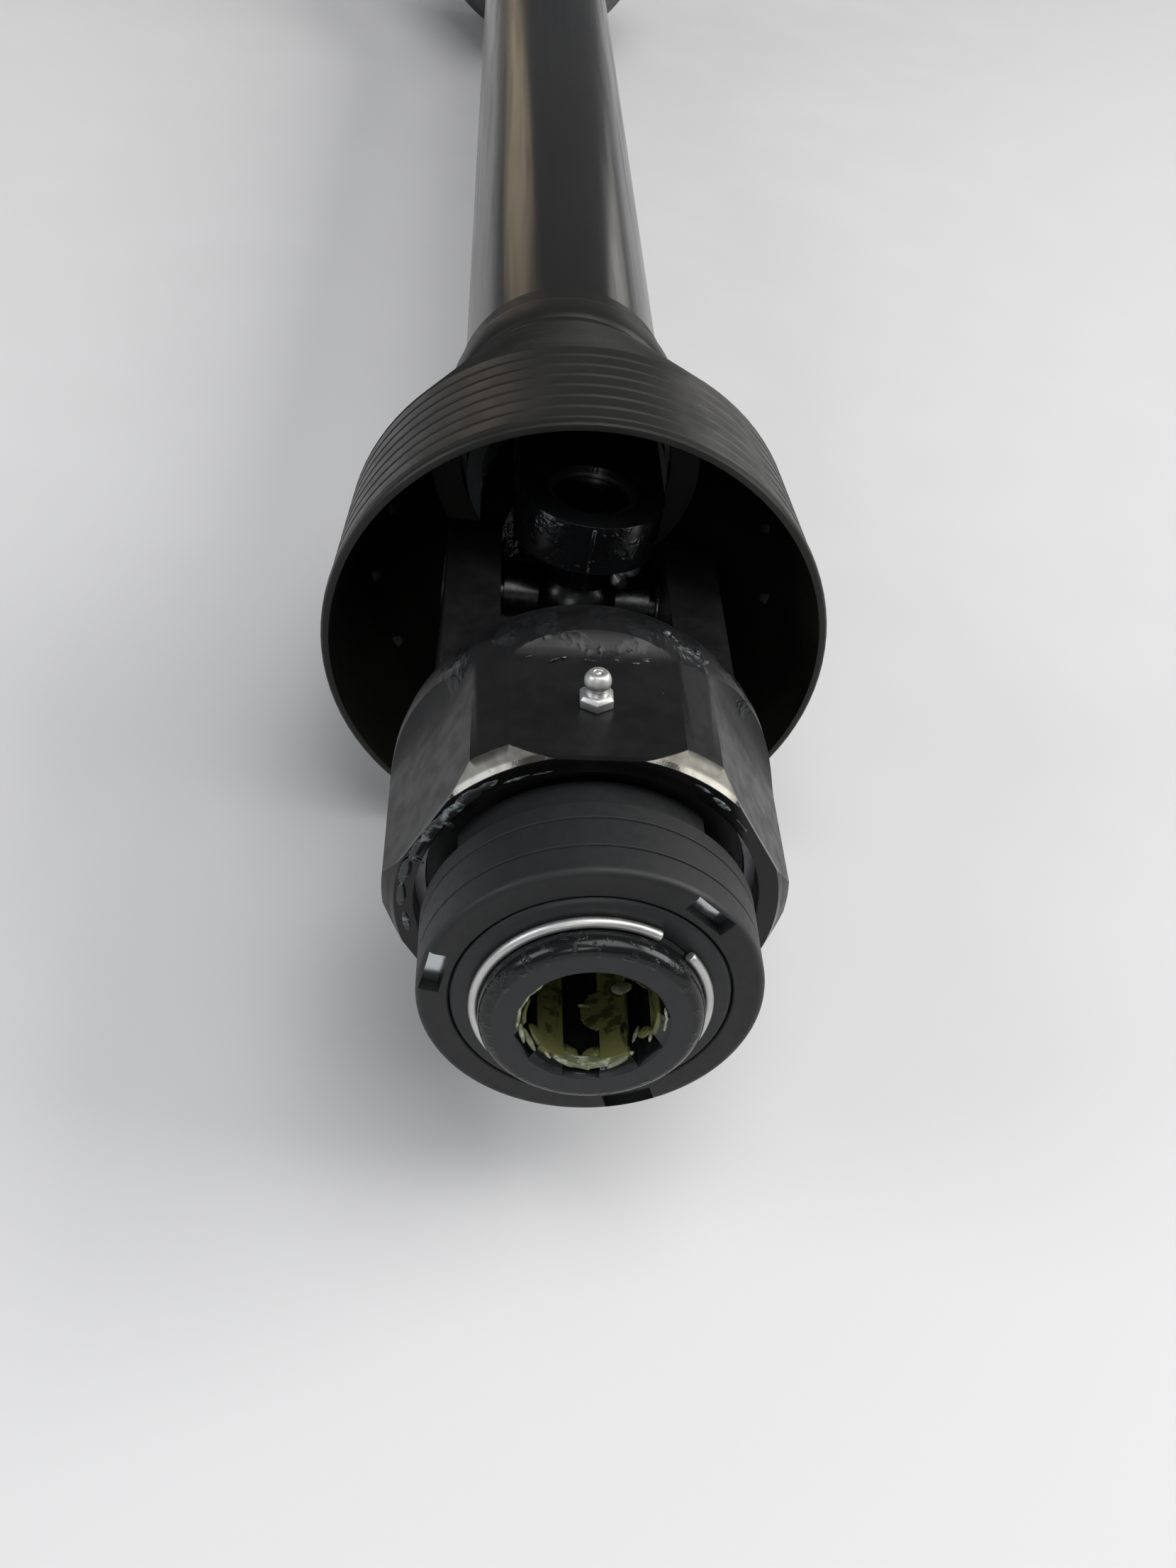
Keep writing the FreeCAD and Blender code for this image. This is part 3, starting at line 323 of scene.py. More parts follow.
def housing_paint():
    """Paint of the clutch housing, bare on the chamfer's top corners, with grease at the front and back."""
    made = painted_forging("housing_paint", streaks=0.012, roughness=0.34)
    made.shader.inputs["Specular IOR Level"].default_value = 0.30
    _, along, up = made.axes()
    radius = made.radius()
    chamfer_radius, chamfer_slope = 47.2, 1.4375
    ragged = made.sums("MULTIPLY", made.sums("SUBTRACT", made.noise(1.6, 3), 0.5), 0.7)
    outwards = made.sums("SUBTRACT", radius, chamfer_radius)
    cone = made.sums("ADD", made.sums("MULTIPLY", outwards, chamfer_slope), HOUSING_FRONT + 0.35)
    over = made.sums("ADD", made.sums("SUBTRACT", cone, along), ragged)
    bare = made.between(over, 0, 0.25)
    bare = made.sums("MULTIPLY", bare, made.between(along, HOUSING_FRONT + 0.06, HOUSING_FRONT + 0.14))
    bare = made.sums("MULTIPLY", bare, made.between(up, 24, 30))
    stained = made.between(made.noise(3.5, 4), 0.35, 0.7)
    made.tint(bare, (0.16, 0.155, 0.14))
    made.tint(made.sums("MULTIPLY", bare, made.sums("MULTIPLY", stained, 0.6)), (0.085, 0.078, 0.065))
    made.turn_to("Metallic", bare, 0.85)
    made.turn_to("Roughness", bare, 0.48)
    face = made.sums("MULTIPLY", made.between(along, 41.5, 40.6), made.between(radius, 40.8, 41.4))
    dome = made.sums("MULTIPLY", made.between(along, 77, 82), made.between(along, 104, 96))
    dome = made.sums("MULTIPLY", dome, made.between(up, 26, 34))
    dome = made.sums("MULTIPLY", dome, made.between(made.noise(8, 3, (1, 2.5, 1), 0.55), 0.50, 0.62))
    wet = made.sums("MAXIMUM", face, dome)
    made.turn_to("Roughness", wet, 0.13)
    made.tint(made.sums("MULTIPLY", dome, 0.6), (0.016, 0.018, 0.020))
    made.raise_by(made.sums("MULTIPLY", dome, made.noise(3.2, 3, (1, 1.8, 1))), 0.35)
    return made.done()


def moulded_collar():
    """Matt moulded plastic with faint turning lines."""
    made = Finish("collar_plastic", colours().collar, 0.50)
    made.shader.inputs["Specular IOR Level"].default_value = 0.36
    made.tint(made.between(made.noise(9, 3), 0.4, 0.75, 0, 0.5), (0.014, 0.0145, 0.0155))
    made.turn_to("Roughness", made.between(made.noise(2.5, 3), 0.35, 0.75), 0.58)
    _, along, _ = made.axes()
    made.raise_by(made.lines_along(along, 3.0), 0.006)
    made.raise_by(made.lines_along(made.radius(), 2.2), 0.005)
    made.raise_by(made.noise(0.25, 1), 0.005)
    dust(made, 0.05, 0.14)
    return made.done()


def moulded_cone():
    """Satin plastic of the guard cones, slightly paler where it is rubbed."""
    made = Finish("cone_plastic", colours().cone, 0.36)
    made.shader.inputs["Specular IOR Level"].default_value = 0.26
    made.tint(made.between(made.noise(30, 3), 0.45, 0.7, 0, 0.6), (0.017, 0.0165, 0.0145))
    made.turn_to("Roughness", made.between(made.noise(8, 3), 0.3, 0.8), 0.46)
    made.raise_by(made.noise(0.4, 1), 0.006)
    made.raise_by(made.noise(26, 2), 0.05)
    dust(made, 0.02, 0.2)
    return made.done()


def extruded_tube():
    """Glossy extruded plastic with drawing lines along it."""
    made = Finish("tube_plastic", (0.0065, 0.006, 0.006), 0.16)
    made.tint(made.between(made.noise(18, 2, (1, 10, 1)), 0.4, 0.7, 0, 0.5), (0.010, 0.0095, 0.009))
    made.turn_to("Roughness", made.between(made.noise(3, 3, (1, 40, 1)), 0.35, 0.75), 0.26)
    made.raise_by(made.noise(1.3, 2, (1, 120, 1)), 0.010)
    made.raise_by(made.noise(24, 2, (1, 10, 1)), 0.05)
    dust(made, 0.012, 0.2)
    return made.done()


def black_steel():
    """Blackened steel, satin on its faces."""
    made = Finish("black_steel", colours().steel, 0.40, 0.25)
    made.shader.inputs["Specular IOR Level"].default_value = 0.40
    made.tint(made.between(made.noise(6, 3), 0.45, 0.75, 0, 0.6), (0.024, 0.025, 0.026))
    made.turn_to("Roughness", made.between(made.noise(3, 3), 0.35, 0.75), 0.48)
    made.raise_by(made.noise(0.5, 2), 0.005)
    dust(made, 0.03, 0.12)
    return made


def hub_steel():
    """The hub: matt front face, polished round edge, and a film of grease in the bore."""
    made = black_steel()
    made.material.name = "hub_steel"
    radius = made.radius()
    _, along, _ = made.axes()
    edge = made.sums("MULTIPLY", made.between(radius, 22.6, 23.4), made.between(along, 9, 6))
    made.turn_to("Roughness", edge, 0.20)
    made.tint(made.sums("MULTIPLY", edge, 0.8), (0.007, 0.0075, 0.008))
    smeared = made.sums("MULTIPLY", edge, made.between(made.noise(4, 4, harshness=0.65), 0.52, 0.62))
    made.raise_by(made.sums("MULTIPLY", smeared, made.noise(1.6, 3)), 0.25)
    made.turn_to("Roughness", smeared, 0.10)
    groove_radius, land_radius = 17.7, 15.4
    inside = made.between(radius, groove_radius + 0.3, groove_radius)
    inside = made.sums("MULTIPLY", inside, made.between(along, 0.6, 1.6))
    lands = made.sums("MULTIPLY", inside, made.between(radius, land_radius + 0.6, land_radius))
    lands = made.sums("MULTIPLY", lands, made.between(along, 70, 38))
    film = made.between(made.noise(6, 4, (1, 2.6, 1), 0.55), 0.34, 0.46)
    made.turn_to("Metallic", inside, 0.0)
    made.turn_to("Roughness", inside, 0.12)
    made.tint(inside, (0.006, 0.008, 0.007))
    made.tint(made.sums("MULTIPLY", made.sums("MULTIPLY", lands, film), 0.95), colours().grease)
    made.raise_by(made.sums("MULTIPLY", inside, made.noise(3.0, 3, (1, 2.2, 1))), 0.45)
    return made.done()


def clear_grease(name, colour, pale, share):
    """Soft grease: one colour with paler stretches, wet all over. On the thrown grease the pale bluish
    stretches are painted highlight, a gleam painted into the colour.
    """
    made = Finish(name, colour, 0.13)
    made.shader.inputs["Subsurface Weight"].default_value = 0.25
    made.shader.inputs["Subsurface Radius"].default_value = (0.002, 0.002, 0.001)
    made.shader.inputs["Subsurface Scale"].default_value = 0.5
    made.tint(made.between(made.noise(3.0, 4, (1.6, 1, 1), 0.6), 0.66 - share, 0.76 - share), pale)
    made.turn_to("Roughness", made.between(made.noise(1.4, 3), 0.4, 0.7), 0.24)
    made.raise_by(made.noise(0.8, 4, (2.5, 1, 1), 0.6), 0.12)
    return made.done()


def worked_steel(name, colour, roughness, grain=(1, 14, 1), depth=0.003, darkened=0.55):
    """Turned or drawn steel with fine lines and a thin oil film."""
    made = Finish(name, colour, roughness, 0.95)
    made.tint(made.between(made.noise(8, 4), 0.45, 0.75, 0, 0.5), [c * darkened for c in colour])
    made.turn_to("Roughness", made.between(made.noise(2.2, 3), 0.3, 0.8), min(roughness + 0.12, 1))
    made.raise_by(made.noise(0.6, 2, grain), depth)
    return made.done()


def grey_nylon():
    """Dark grey nylon of the bearing rings."""
    made = Finish("ring_plastic", (0.045, 0.052, 0.058), 0.42)
    made.tint(made.between(made.noise(12, 3), 0.5, 0.8, 0, 0.4), (0.03, 0.034, 0.038))
    made.turn_to("Roughness", made.between(made.noise(4, 2), 0.4, 0.7), 0.5)
    made.raise_by(made.noise(0.5, 1), 0.01)
    return made.done()


finishes = {}


def finish_for(slot):
    """The finish of a slot, or of a surface that differs from its slot, made once."""
    if slot not in finishes:
        tints = colours()
        even = (1, 1, 1)
        makers = {
            "black_paint": lambda: painted_forging().done(),
            "wet_paint": wet_forging,
            "housing_paint": housing_paint,
            "black_steel": lambda: black_steel().done(),
            "hub_steel": hub_steel,
            "collar_plastic": moulded_collar,
            "cone_plastic": moulded_cone,
            "tube_plastic": extruded_tube,
            "ring_plastic": grey_nylon,
            "machined_steel": lambda: worked_steel(slot, (0.30, 0.29, 0.27), 0.36),
            "greased_steel": lambda: worked_steel(slot, (0.035, 0.036, 0.036), 0.20, even, 0.004),
            "bearing_steel": lambda: worked_steel(slot, (0.42, 0.42, 0.42), 0.22, depth=0.0008),
            "bright_plate": lambda: worked_steel(slot, (0.50, 0.52, 0.53), 0.16, even, 0.004, 0.8),
            "greased_caps": lambda: worked_steel(slot, (0.06, 0.062, 0.064), 0.20, even, 0.001),
            "spring_steel": lambda: worked_steel(slot, (0.20, 0.20, 0.21), 0.32, depth=0.001),
            "zinc": lambda: worked_steel(slot, (0.55, 0.55, 0.54), 0.40, even, 0.006, 0.75),
            "ring_wire": lambda: worked_steel(slot, (0.56, 0.56, 0.55), 0.38, even, 0.010, 0.8),
            "bore_grease": lambda: clear_grease(slot, tints.grease, (0.05, 0.055, 0.02), 0.18),
            "lip_grease": lambda: clear_grease(slot, (0.15, 0.165, 0.10), tints.smeared_grease, 0.17),
            # The thrown grease's pale bluish stretches are painted highlight: a painted gleam on the dark
            # grease
            "thrown_grease": lambda: clear_grease(slot, (0.016, 0.019, 0.020), (0.16, 0.185, 0.19), 0.14),
        }
        finishes[slot] = makers[slot]()
    return finishes[slot]


# Modelling helpers


def clear_selection():
    if bpy.context.object and bpy.context.object.mode != "OBJECT":
        bpy.ops.object.mode_set(mode="OBJECT")
    bpy.ops.object.select_all(action="DESELECT")


def pick(piece):
    clear_selection()
    piece.select_set(True)
    bpy.context.view_layer.objects.active = piece


def whole_mesh(piece):
    """Edit mode with everything selected."""
    pick(piece)
    bpy.ops.object.mode_set(mode="EDIT")
    bpy.ops.mesh.select_mode(type="VERT")
    bpy.ops.mesh.select_all(action="SELECT")


def object_mode():
    bpy.ops.object.mode_set(mode="OBJECT")


def pick_faces(piece, chosen):
    """Object mode to edit mode with only the faces that chosen says yes to."""
    whole_mesh(piece)
    bpy.ops.mesh.select_mode(type="FACE")
    bpy.ops.mesh.select_all(action="DESELECT")
    object_mode()
    for face in piece.data.polygons:
        face.select = chosen(face)
    bpy.ops.object.mode_set(mode="EDIT")


def name_piece(piece, name):
    piece.name = name
    piece.data.name = name
    return piece


def hand_over(piece, body, finish, replaced=()):
    """Gives a finished piece its material and body, and hides the parts that it replaces."""
    piece.data.materials.clear()
    piece.data.materials.append(finish)
    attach(piece, body)
    if replaced:
        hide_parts(*replaced)
    return piece


def shade(piece, degrees=32):
    pick(piece)
    bpy.ops.object.shade_smooth_by_angle(angle=math.radians(degrees))


def use_modifier(piece, kind, **settings):
    """Adds a modifier with its settings and applies it."""
    pick(piece)
    modifier = piece.modifiers.new(kind.title(), kind)
    for setting, value in settings.items():
        setattr(modifier, setting, value)
    bpy.ops.object.modifier_apply(modifier=modifier.name)


def break_edges(piece, width, segments, degrees, **settings):
    """Bevels the edges that are sharper than an angle."""
    use_modifier(piece, "BEVEL", width=width, segments=segments, limit_method="ANGLE",
                 angle_limit=math.radians(degrees), **settings)


def settle(piece, place):
    """Puts a piece in its place by a matrix and leaves its object at the origin."""
    piece.matrix_world = place
    pick(piece)
    bpy.ops.object.transform_apply(location=True, rotation=True, scale=True)


def around(degrees, radius, along):
    """A place at an angle round the shaft; its X runs round, its Y along and its Z outwards."""
    turn = Matrix.Rotation(math.radians(degrees), 4, "Y")
    return turn @ Matrix.Translation((0, along * MM, radius * MM))


def joined(name, pieces):
    clear_selection()
    for piece in pieces:
        piece.select_set(True)
    bpy.context.view_layer.objects.active = pieces[0]
    bpy.ops.object.join()
    return name_piece(bpy.context.object, name)


def twin_of(piece, name):
    """A copy of a piece with its own mesh."""
    pick(piece)
    bpy.ops.object.duplicate(linked=False)
    return name_piece(bpy.context.object, name)


def stacked(name, sections, sides=32, hollow=False):
    """A round piece about Z: a disc is extruded and resized section by section, or, for a hollow
    piece, a ring that comes back to where it began."""
    clear_selection()
    radius, height = sections[0]
    fill = "NOTHING" if hollow else "NGON"
    bpy.ops.mesh.primitive_circle_add(vertices=sides, radius=radius, fill_type=fill, location=(0, 0, height))
    piece = name_piece(bpy.context.object, name)
    bpy.ops.object.transform_apply(location=True)
    whole_mesh(piece)
    for next_radius, next_height in sections[1:] + sections[:1] * hollow:
        bpy.ops.mesh.extrude_region_move(TRANSFORM_OT_translate={"value": (0, 0, next_height - height)})
        share = next_radius / radius
        bpy.ops.transform.resize(value=(share, share, 1), center_override=(0, 0, next_height))
        radius, height = next_radius, next_height
    bpy.ops.mesh.select_all(action="SELECT")
    bpy.ops.mesh.remove_doubles(threshold=0.000001)
    bpy.ops.mesh.normals_make_consistent(inside=False)
    object_mode()
    return piece


def block(name, lengths):
    """A block of three lengths about the origin, a start for a shaped piece."""
    clear_selection()
    bpy.ops.mesh.primitive_cube_add(size=1, scale=lengths)
    piece = name_piece(bpy.context.object, name)
    bpy.ops.object.transform_apply(scale=True)
    return piece


def body_and_slot(node):
    record = frame["record"]
    body = next(b for b, members in record["behaviour"]["bodies"].items() if node in members)
    slot = next(s["material_slot"] for s in record["subparts"] if s["node"] == node)
    return body, slot


def refined_copy(node, edge=None, finish=None, degrees=32):
    """A merged copy of a node with broken edges and smooth rounds, in place of the node."""
    source = frame["nodes"][node]
    piece = source.copy()
    piece.data = source.data.copy()
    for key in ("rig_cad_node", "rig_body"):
        if key in piece:
            del piece[key]
    piece.parent = None
    bpy.context.scene.collection.objects.link(piece)
    name_piece(piece, node + "_finished")
    whole_mesh(piece)
    bpy.ops.mesh.remove_doubles(threshold=0.00001)
    bpy.ops.mesh.dissolve_limited(angle_limit=math.radians(0.5))
    object_mode()
    if edge:
        break_edges(piece, edge, 2, 38, miter_outer="MITER_ARC", use_clamp_overlap=True)
    shade(piece, degrees)
    if edge:
        use_modifier(piece, "WEIGHTED_NORMAL", mode="FACE_AREA", weight=90, keep_sharp=True)
    body, slot = body_and_slot(node)
    return hand_over(piece, body, finish_for(finish or slot), [node])


def refine_all(nodes, edge_share=0.6, finish=None, degrees=32):
    """Refined copies of several nodes; edge_share is their edge's part of the shaft's usual edge."""
    for node in nodes:
        refined_copy(node, sizes().edge * edge_share if edge_share else None, finish, degrees)


# Operators, one for each piece or group of like pieces


class ClutchHousing(bpy.types.Operator):
    """Finish the clutch housing: painted forging, bare chamfer corners, milled flats"""

    bl_idname = "shaft.clutch_housing"
    bl_label = "Clutch housing"

    def execute(self, context):
        refined_copy("clutch_housing", sizes().edge, "housing_paint", 22)
        return {"FINISHED"}


class ClutchHub(bpy.types.Operator):
    """Finish the splined hub, with its polished front edge and greased bore"""

    bl_idname = "shaft.clutch_hub"
    bl_label = "Clutch hub"

    def execute(self, context):
        refined_copy("clutch_hub", sizes().edge * 0.7, "hub_steel", 34)
        return {"FINISHED"}


class KeysAndSprings(bpy.types.Operator):
    """Finish the clutch's two keys and every coil spring"""

    bl_idname = "shaft.keys_and_springs"
    bl_label = "Keys and springs"

    def execute(self, context):
        refine_all(("key_left", "key_right"))
        refine_all(("key_spring_left", "key_spring_right", "collar_spring", "push_pin_spring"), None)
        return {"FINISHED"}


class ClosingParts(bpy.types.Operator):
    """Finish the washer that closes the housing and the ring that holds it"""

    bl_idname = "shaft.closing_parts"
    bl_label = "Closing washer and ring"

    def execute(self, context):
        refine_all(("closing_washer", "housing_circlip"))
        return {"FINISHED"}


class GreaseNipples(bpy.types.Operator):
    """Model the three grease nipples: chamfered hexagon, waisted neck, ball head with its valve"""

    bl_idname = "shaft.grease_nipples"
    bl_label = "Grease nipples"

    def execute(self, context):
        first = model_nipple("grease_nipple_model")
        places = (("grease_nipple", HOUSING_NIPPLE_FOOT), ("cross_nipple_a", CROSS_NIPPLE_FOOT),
                  ("cross_nipple_b", CROSS_NIPPLE_FOOT))
        for node, foot in places:
            piece = twin_of(first, node + "_model")
            low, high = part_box(node)
            middle = (Vector(low) + Vector(high)) / 2
            turn = math.degrees(math.atan2(middle.x, middle.z))
            settle(piece, around(turn, foot, middle.y / MM))
            body, slot = body_and_slot(node)
            hand_over(piece, body, finish_for("zinc"), [node])
        bpy.data.objects.remove(first)
        return {"FINISHED"}


def model_nipple(name):
    """A nipple standing on the origin along Z."""
    ball = sizes().nipple_ball
    height = 6.6 * MM
    head = [(ball * math.cos(t), height + ball * math.sin(t))
            for t in (math.radians(d) for d in range(-45, 50, 9))]
    rim = head[-1]
    neck = [(2.9 * MM, -6 * MM), (2.9 * MM, 3.3 * MM), (2.55 * MM, 3.8 * MM)]
    cup = [(rim[0] - 0.25 * MM, rim[1] + 0.12 * MM), (1.25 * MM, rim[1] + 0.12 * MM),
           (1.05 * MM, rim[1] - 0.1 * MM), (0.95 * MM, rim[1] - 0.75 * MM)]
    stem = stacked(name, neck + head + cup)
    corner = sizes().nipple_hexagon
    hexagon = stacked("hexagon", [(corner - 0.25 * MM, 0), (corner, 0.3 * MM), (corner, 2.3 * MM),
                                  (corner * 0.84, 3.15 * MM), (corner * 0.66, 3.4 * MM)], sides=6)
    break_edges(hexagon, 0.16 * MM, 2, 25)
    clear_selection()
    bpy.ops.mesh.primitive_uv_sphere_add(segments=16, ring_count=8, radius=0.85 * MM,
                                         location=(0, 0, rim[1] - 0.55 * MM))
    valve = bpy.context.object
    nipple = joined(name, [stem, hexagon, valve])
    shade(nipple, 34)
    return nipple


class ReleaseCollar(bpy.types.Operator):
    """Finish the moulded collar with its bands, windows and notched skirt"""

    bl_idname = "shaft.release_collar"
    bl_label = "Release collar"

    def execute(self, context):
        refined_copy("release_collar", sizes().edge * 0.5, None, 34)
        return {"FINISHED"}


class WindowPlates(bpy.types.Operator):
    """Model the bright steel plate at the bottom of each of the collar's three windows"""

    bl_idname = "shaft.window_plates"
    bl_label = "Window plates"

    def execute(self, context):
        first = model_window_plate("window_plate")
        for i in range(3):
            piece = twin_of(first, f"window_plate_{i + 1}")
            settle(piece, around(WINDOW_TURN + 120 * i, WINDOW_RADIUS, WINDOW_PLATE_PLACE))
            hand_over(piece, "collar", finish_for("bright_plate"))
        bpy.data.objects.remove(first)
        return {"FINISHED"}


def model_window_plate(name):
    """A plate whose front is slightly crowned along its length."""
    crown = 0.6 * MM
    plate = block(name, sizes().plate_size)
    whole_mesh(plate)
    bpy.ops.mesh.bisect(plane_co=(0, 0, 0), plane_no=(1, 0, 0))
    bpy.ops.mesh.select_mode(type="VERT")
    bpy.ops.mesh.select_all(action="DESELECT")
    object_mode()
    for vertex in plate.data.vertices:
        vertex.select = abs(vertex.co.x) < 0.01 * MM and vertex.co.y < 0
    bpy.ops.object.mode_set(mode="EDIT")
    bpy.ops.transform.translate(value=(0, -crown, 0))
    object_mode()
    shade(plate, 24)
    return plate


class LockingParts(bpy.types.Operator):
    """Finish the locking sleeve and its three balls"""

    bl_idname = "shaft.locking_parts"
    bl_label = "Locking sleeve and balls"

    def execute(self, context):
        refine_all(("locking_sleeve",))
        refine_all(("ball_1", "ball_2", "ball_3"), None)
        return {"FINISHED"}


class FrontRings(bpy.types.Operator):
    """Finish the stop ring and the round wire ring, turned in its groove with its gap at the top right"""

    bl_idname = "shaft.front_rings"
    bl_label = "Front rings"

    def execute(self, context):
        refined_copy("stop_ring", sizes().edge * 0.6)
        half_turn = Matrix.Rotation(math.pi, 4, "Y")
        settle(refined_copy("wire_ring", sizes().edge, "ring_wire", 40), half_turn)
        return {"FINISHED"}


class CrossJoints(bpy.types.Operator):
    """Finish both crosses, their bearing cups and the snap rings that hold them"""

    bl_idname = "shaft.cross_joints"
    bl_label = "Crosses, cups and snap rings"

    def execute(self, context):
        yokes = ("clutch_yoke", "shaft_yoke_a", "shaft_yoke_b", "tractor_yoke")
        refine_all(("cross_a", "cross_b"), 1.0, "greased_steel")
        refine_all(["cups_" + yoke for yoke in yokes], 0.8, "greased_caps")
        refine_all(["snap_rings_" + yoke for yoke in yokes], 0.6)
        return {"FINISHED"}


class Yokes(bpy.types.Operator):
    """Finish the two shaft yokes, wet with grease, and the tractor yoke in plain paint"""

    bl_idname = "shaft.yokes"
    bl_label = "Yokes"

    def execute(self, context):
        refine_all(("shaft_yoke_a", "shaft_yoke_b"), 3.0, "wet_paint", 34)
        refine_all(("tractor_yoke",), 1.0, "black_paint")
        return {"FINISHED"}


class ForgingSeams(bpy.types.Operator):
    """Model the low seam that forging leaves on the round of each ear"""

    bl_idname = "shaft.forging_seams"
    bl_label = "Forging seams"

    def execute(self, context):
        first = model_seam("forging_seam", sizes().seam_size)
        upright, across = (0, 180), (90, 270)
        ears = (("shaft_a", JOINT_A - SEAM_FROM_JOINT, upright),
                ("clutch", JOINT_A + SEAM_FROM_JOINT, across),
                ("shaft_b", JOINT_B + SEAM_FROM_JOINT, upright),
                ("tractor_end", JOINT_B - SEAM_FROM_JOINT, across))
        for body, along, turns in ears:
            for degrees in turns:
                piece = twin_of(first, f"forging_seam_{body}_{degrees}")
                settle(piece, around(degrees, EAR_RADIUS, along))
                hand_over(piece, body, finish_for("wet_paint"))
        bpy.data.objects.remove(first)
        return {"FINISHED"}


def model_seam(name, lengths):
    """A low rib along Z with its two ends tapered and its crest rounded."""
    seam = block(name, lengths)
    pick_faces(seam, lambda face: abs(face.normal.z) > 0.9)
    bpy.ops.mesh.inset(thickness=0.12 * MM)
    bpy.ops.transform.resize(value=(0.5, 1, 1.04), center_override=(0, 0, 0))
    object_mode()
    break_edges(seam, 0.3 * MM, 3, 40)
    shade(seam, 50)
    return seam


class ProfileTubes(bpy.types.Operator):
    """Finish the two triangular tubes of the telescope and their roll pins"""

    bl_idname = "shaft.profile_tubes"
    bl_label = "Profile tubes and roll pins"

    def execute(self, context):
        refine_all(("profile_tube_outer", "profile_tube_inner", "roll_pin_a", "roll_pin_b"))
        return {"FINISHED"}


class GuardCones(bpy.types.Operator):
    """Model the guard's cones: rounded rim, ribbed skirt and slope, and the neck with its band"""

    bl_idname = "shaft.guard_cones"
    bl_label = "Guard cones"

    def execute(self, context):
        for node, tube_radius, mirrored in (("cone_a", OUTER_TUBE_RADIUS, False),
                                            ("cone_b", INNER_TUBE_RADIUS, True)):
            bell = stacked(node + "_model", in_metres(bell_outline(tube_radius)), 96, hollow=True)
            low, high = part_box(node)
            rim = high[1] if mirrored else low[1]
            lying = Matrix.Rotation(math.radians(90 if mirrored else -90), 4, "X")
            settle(bell, Matrix.Translation((0, rim, 0)) @ lying)
            shade(bell, 24)
            body, slot = body_and_slot(node)
            hand_over(bell, body, finish_for(slot), [node])
        return {"FINISHED"}


def in_metres(outline):
    return [(radius * MM, place * MM) for radius, place in outline]


def bell_outline(tube_radius):
    """A cone's outline in millimetres: radius and place along the shaft from its rim."""
    rim_radius, wall, throat, end = 74.6, 2.4, 111.7, 168.7
    bend, neck = (70.2, 54.7), (42.4, 133.5)
    dip, band, socket = 40.6, 41.8, 39.2
    rim = [(rim_radius - 1.5, 0), (rim_radius - 0.7, 0.2), (rim_radius - 0.2, 0.7), (rim_radius, 1.5),
           (rim_radius, 3.0)]
    foot = (rim_radius - 0.9, 3.6)
    top = [(dip, 135.5), (dip, 141.5), (band - 0.5, 142.6), (band, 144), (band, 154), (band - 0.6, 156.2),
           (socket, 157.7), (socket, end)]
    inside = [(tube_radius, end), (tube_radius, throat), (neck[0] + 4.1, throat),
              (bend[0] - wall, bend[1] - 1), (rim_radius - wall, 4), (rim_radius - wall, 0)]
    return rim + [foot] + ribs(foot, bend, 7) + ribs(bend, neck, 11) + top + inside


def ribs(start, end, count):
    """Flat bands between fine grooves, from start to end, both as radius and place."""
    lip, rise, fall = 0.55, 1.1, 0.4
    points = []
    for i in range(count):
        parts = (i / count, (i + 1) / count)
        near, far = [[a + (b - a) * part for a, b in zip(start, end)] for part in parts]
        middle = ((near[0] + far[0]) / 2 + lip + 0.1, (near[1] + far[1]) / 2)
        points += [(near[0] + lip, near[1] + rise), middle, (far[0] + lip, far[1] - fall), (far[0], far[1])]
    return points


class ConeTabs(bpy.types.Operator):
    """Model the small moulded tabs on the inner wall of each cone"""

    bl_idname = "shaft.cone_tabs"
    bl_label = "Cone tabs"

    def execute(self, context):
        first = model_cone_tab("cone_tab")
        places = ((-95, 57.5, 225), (-109, 64.8, 208), (-129, 67.0, 202), (79, 64.0, 210), (98, 67.0, 202))
        wall_lean = 14
        for number, (degrees, radius, along) in enumerate(places, start=1):
            for body, mirrored in (("guard_a", False), ("guard_b", True)):
                piece = twin_of(first, f"cone_tab_{body}_{number}")
                spot = around(degrees, radius, JOINT_A + JOINT_B - along if mirrored else along)
                lean = Matrix.Rotation(math.radians(-wall_lean if mirrored else wall_lean), 4, "X")
                settle(piece, spot @ lean)
                hand_over(piece, body, finish_for("cone_plastic"))
        bpy.data.objects.remove(first)
        return {"FINISHED"}


def model_cone_tab(name):
    """A small wedge with a rounded top that stands inwards from the wall."""
    tab = block(name, (5 * MM, 3.2 * MM, 4 * MM))
    pick_faces(tab, lambda face: face.normal.z < -0.9)
    bpy.ops.transform.resize(value=(0.6, 0.5, 1), center_override=(0, 0, 0))
    object_mode()
    break_edges(tab, 0.6 * MM, 3, 30)
    shade(tab, 50)
    return tab


class GuardTubes(bpy.types.Operator):
    """Finish the guard's tubes and the rings that they run on"""

    bl_idname = "shaft.guard_tubes"
    bl_label = "Guard tubes and bearing rings"

    def execute(self, context):
        refine_all(("guard_tube_outer", "guard_tube_inner", "bearing_ring_a", "bearing_ring_b"))
        return {"FINISHED"}


class ReleasePin(bpy.types.Operator):
    """Finish the tractor yoke's push pin"""

    bl_idname = "shaft.release_pin"
    bl_label = "Release pin"

    def execute(self, context):
        refine_all(("push_pin",), 1.0)
        return {"FINISHED"}


class Grease(bpy.types.Operator):
    """Model the grease: in the bore, on the housing's front face and on its round back"""

    bl_idname = "shaft.grease"
    bl_label = "Grease"

    def execute(self, context):
        grease_mass("grease_in_bore", BORE_GREASE, 0.30, 0.20, "hub", "bore_grease")
        grease_mass("grease_at_lip", LIP_GREASE, 0.26, 0.30, "hub", "lip_grease")
        grease_mass("grease_on_front", FRONT_GREASE, 0.30, 0.5, "clutch", "thrown_grease")
        grease_mass("grease_on_back", BACK_GREASE, 0.22, 0.25, "clutch", "thrown_grease")
        return {"FINISHED"}


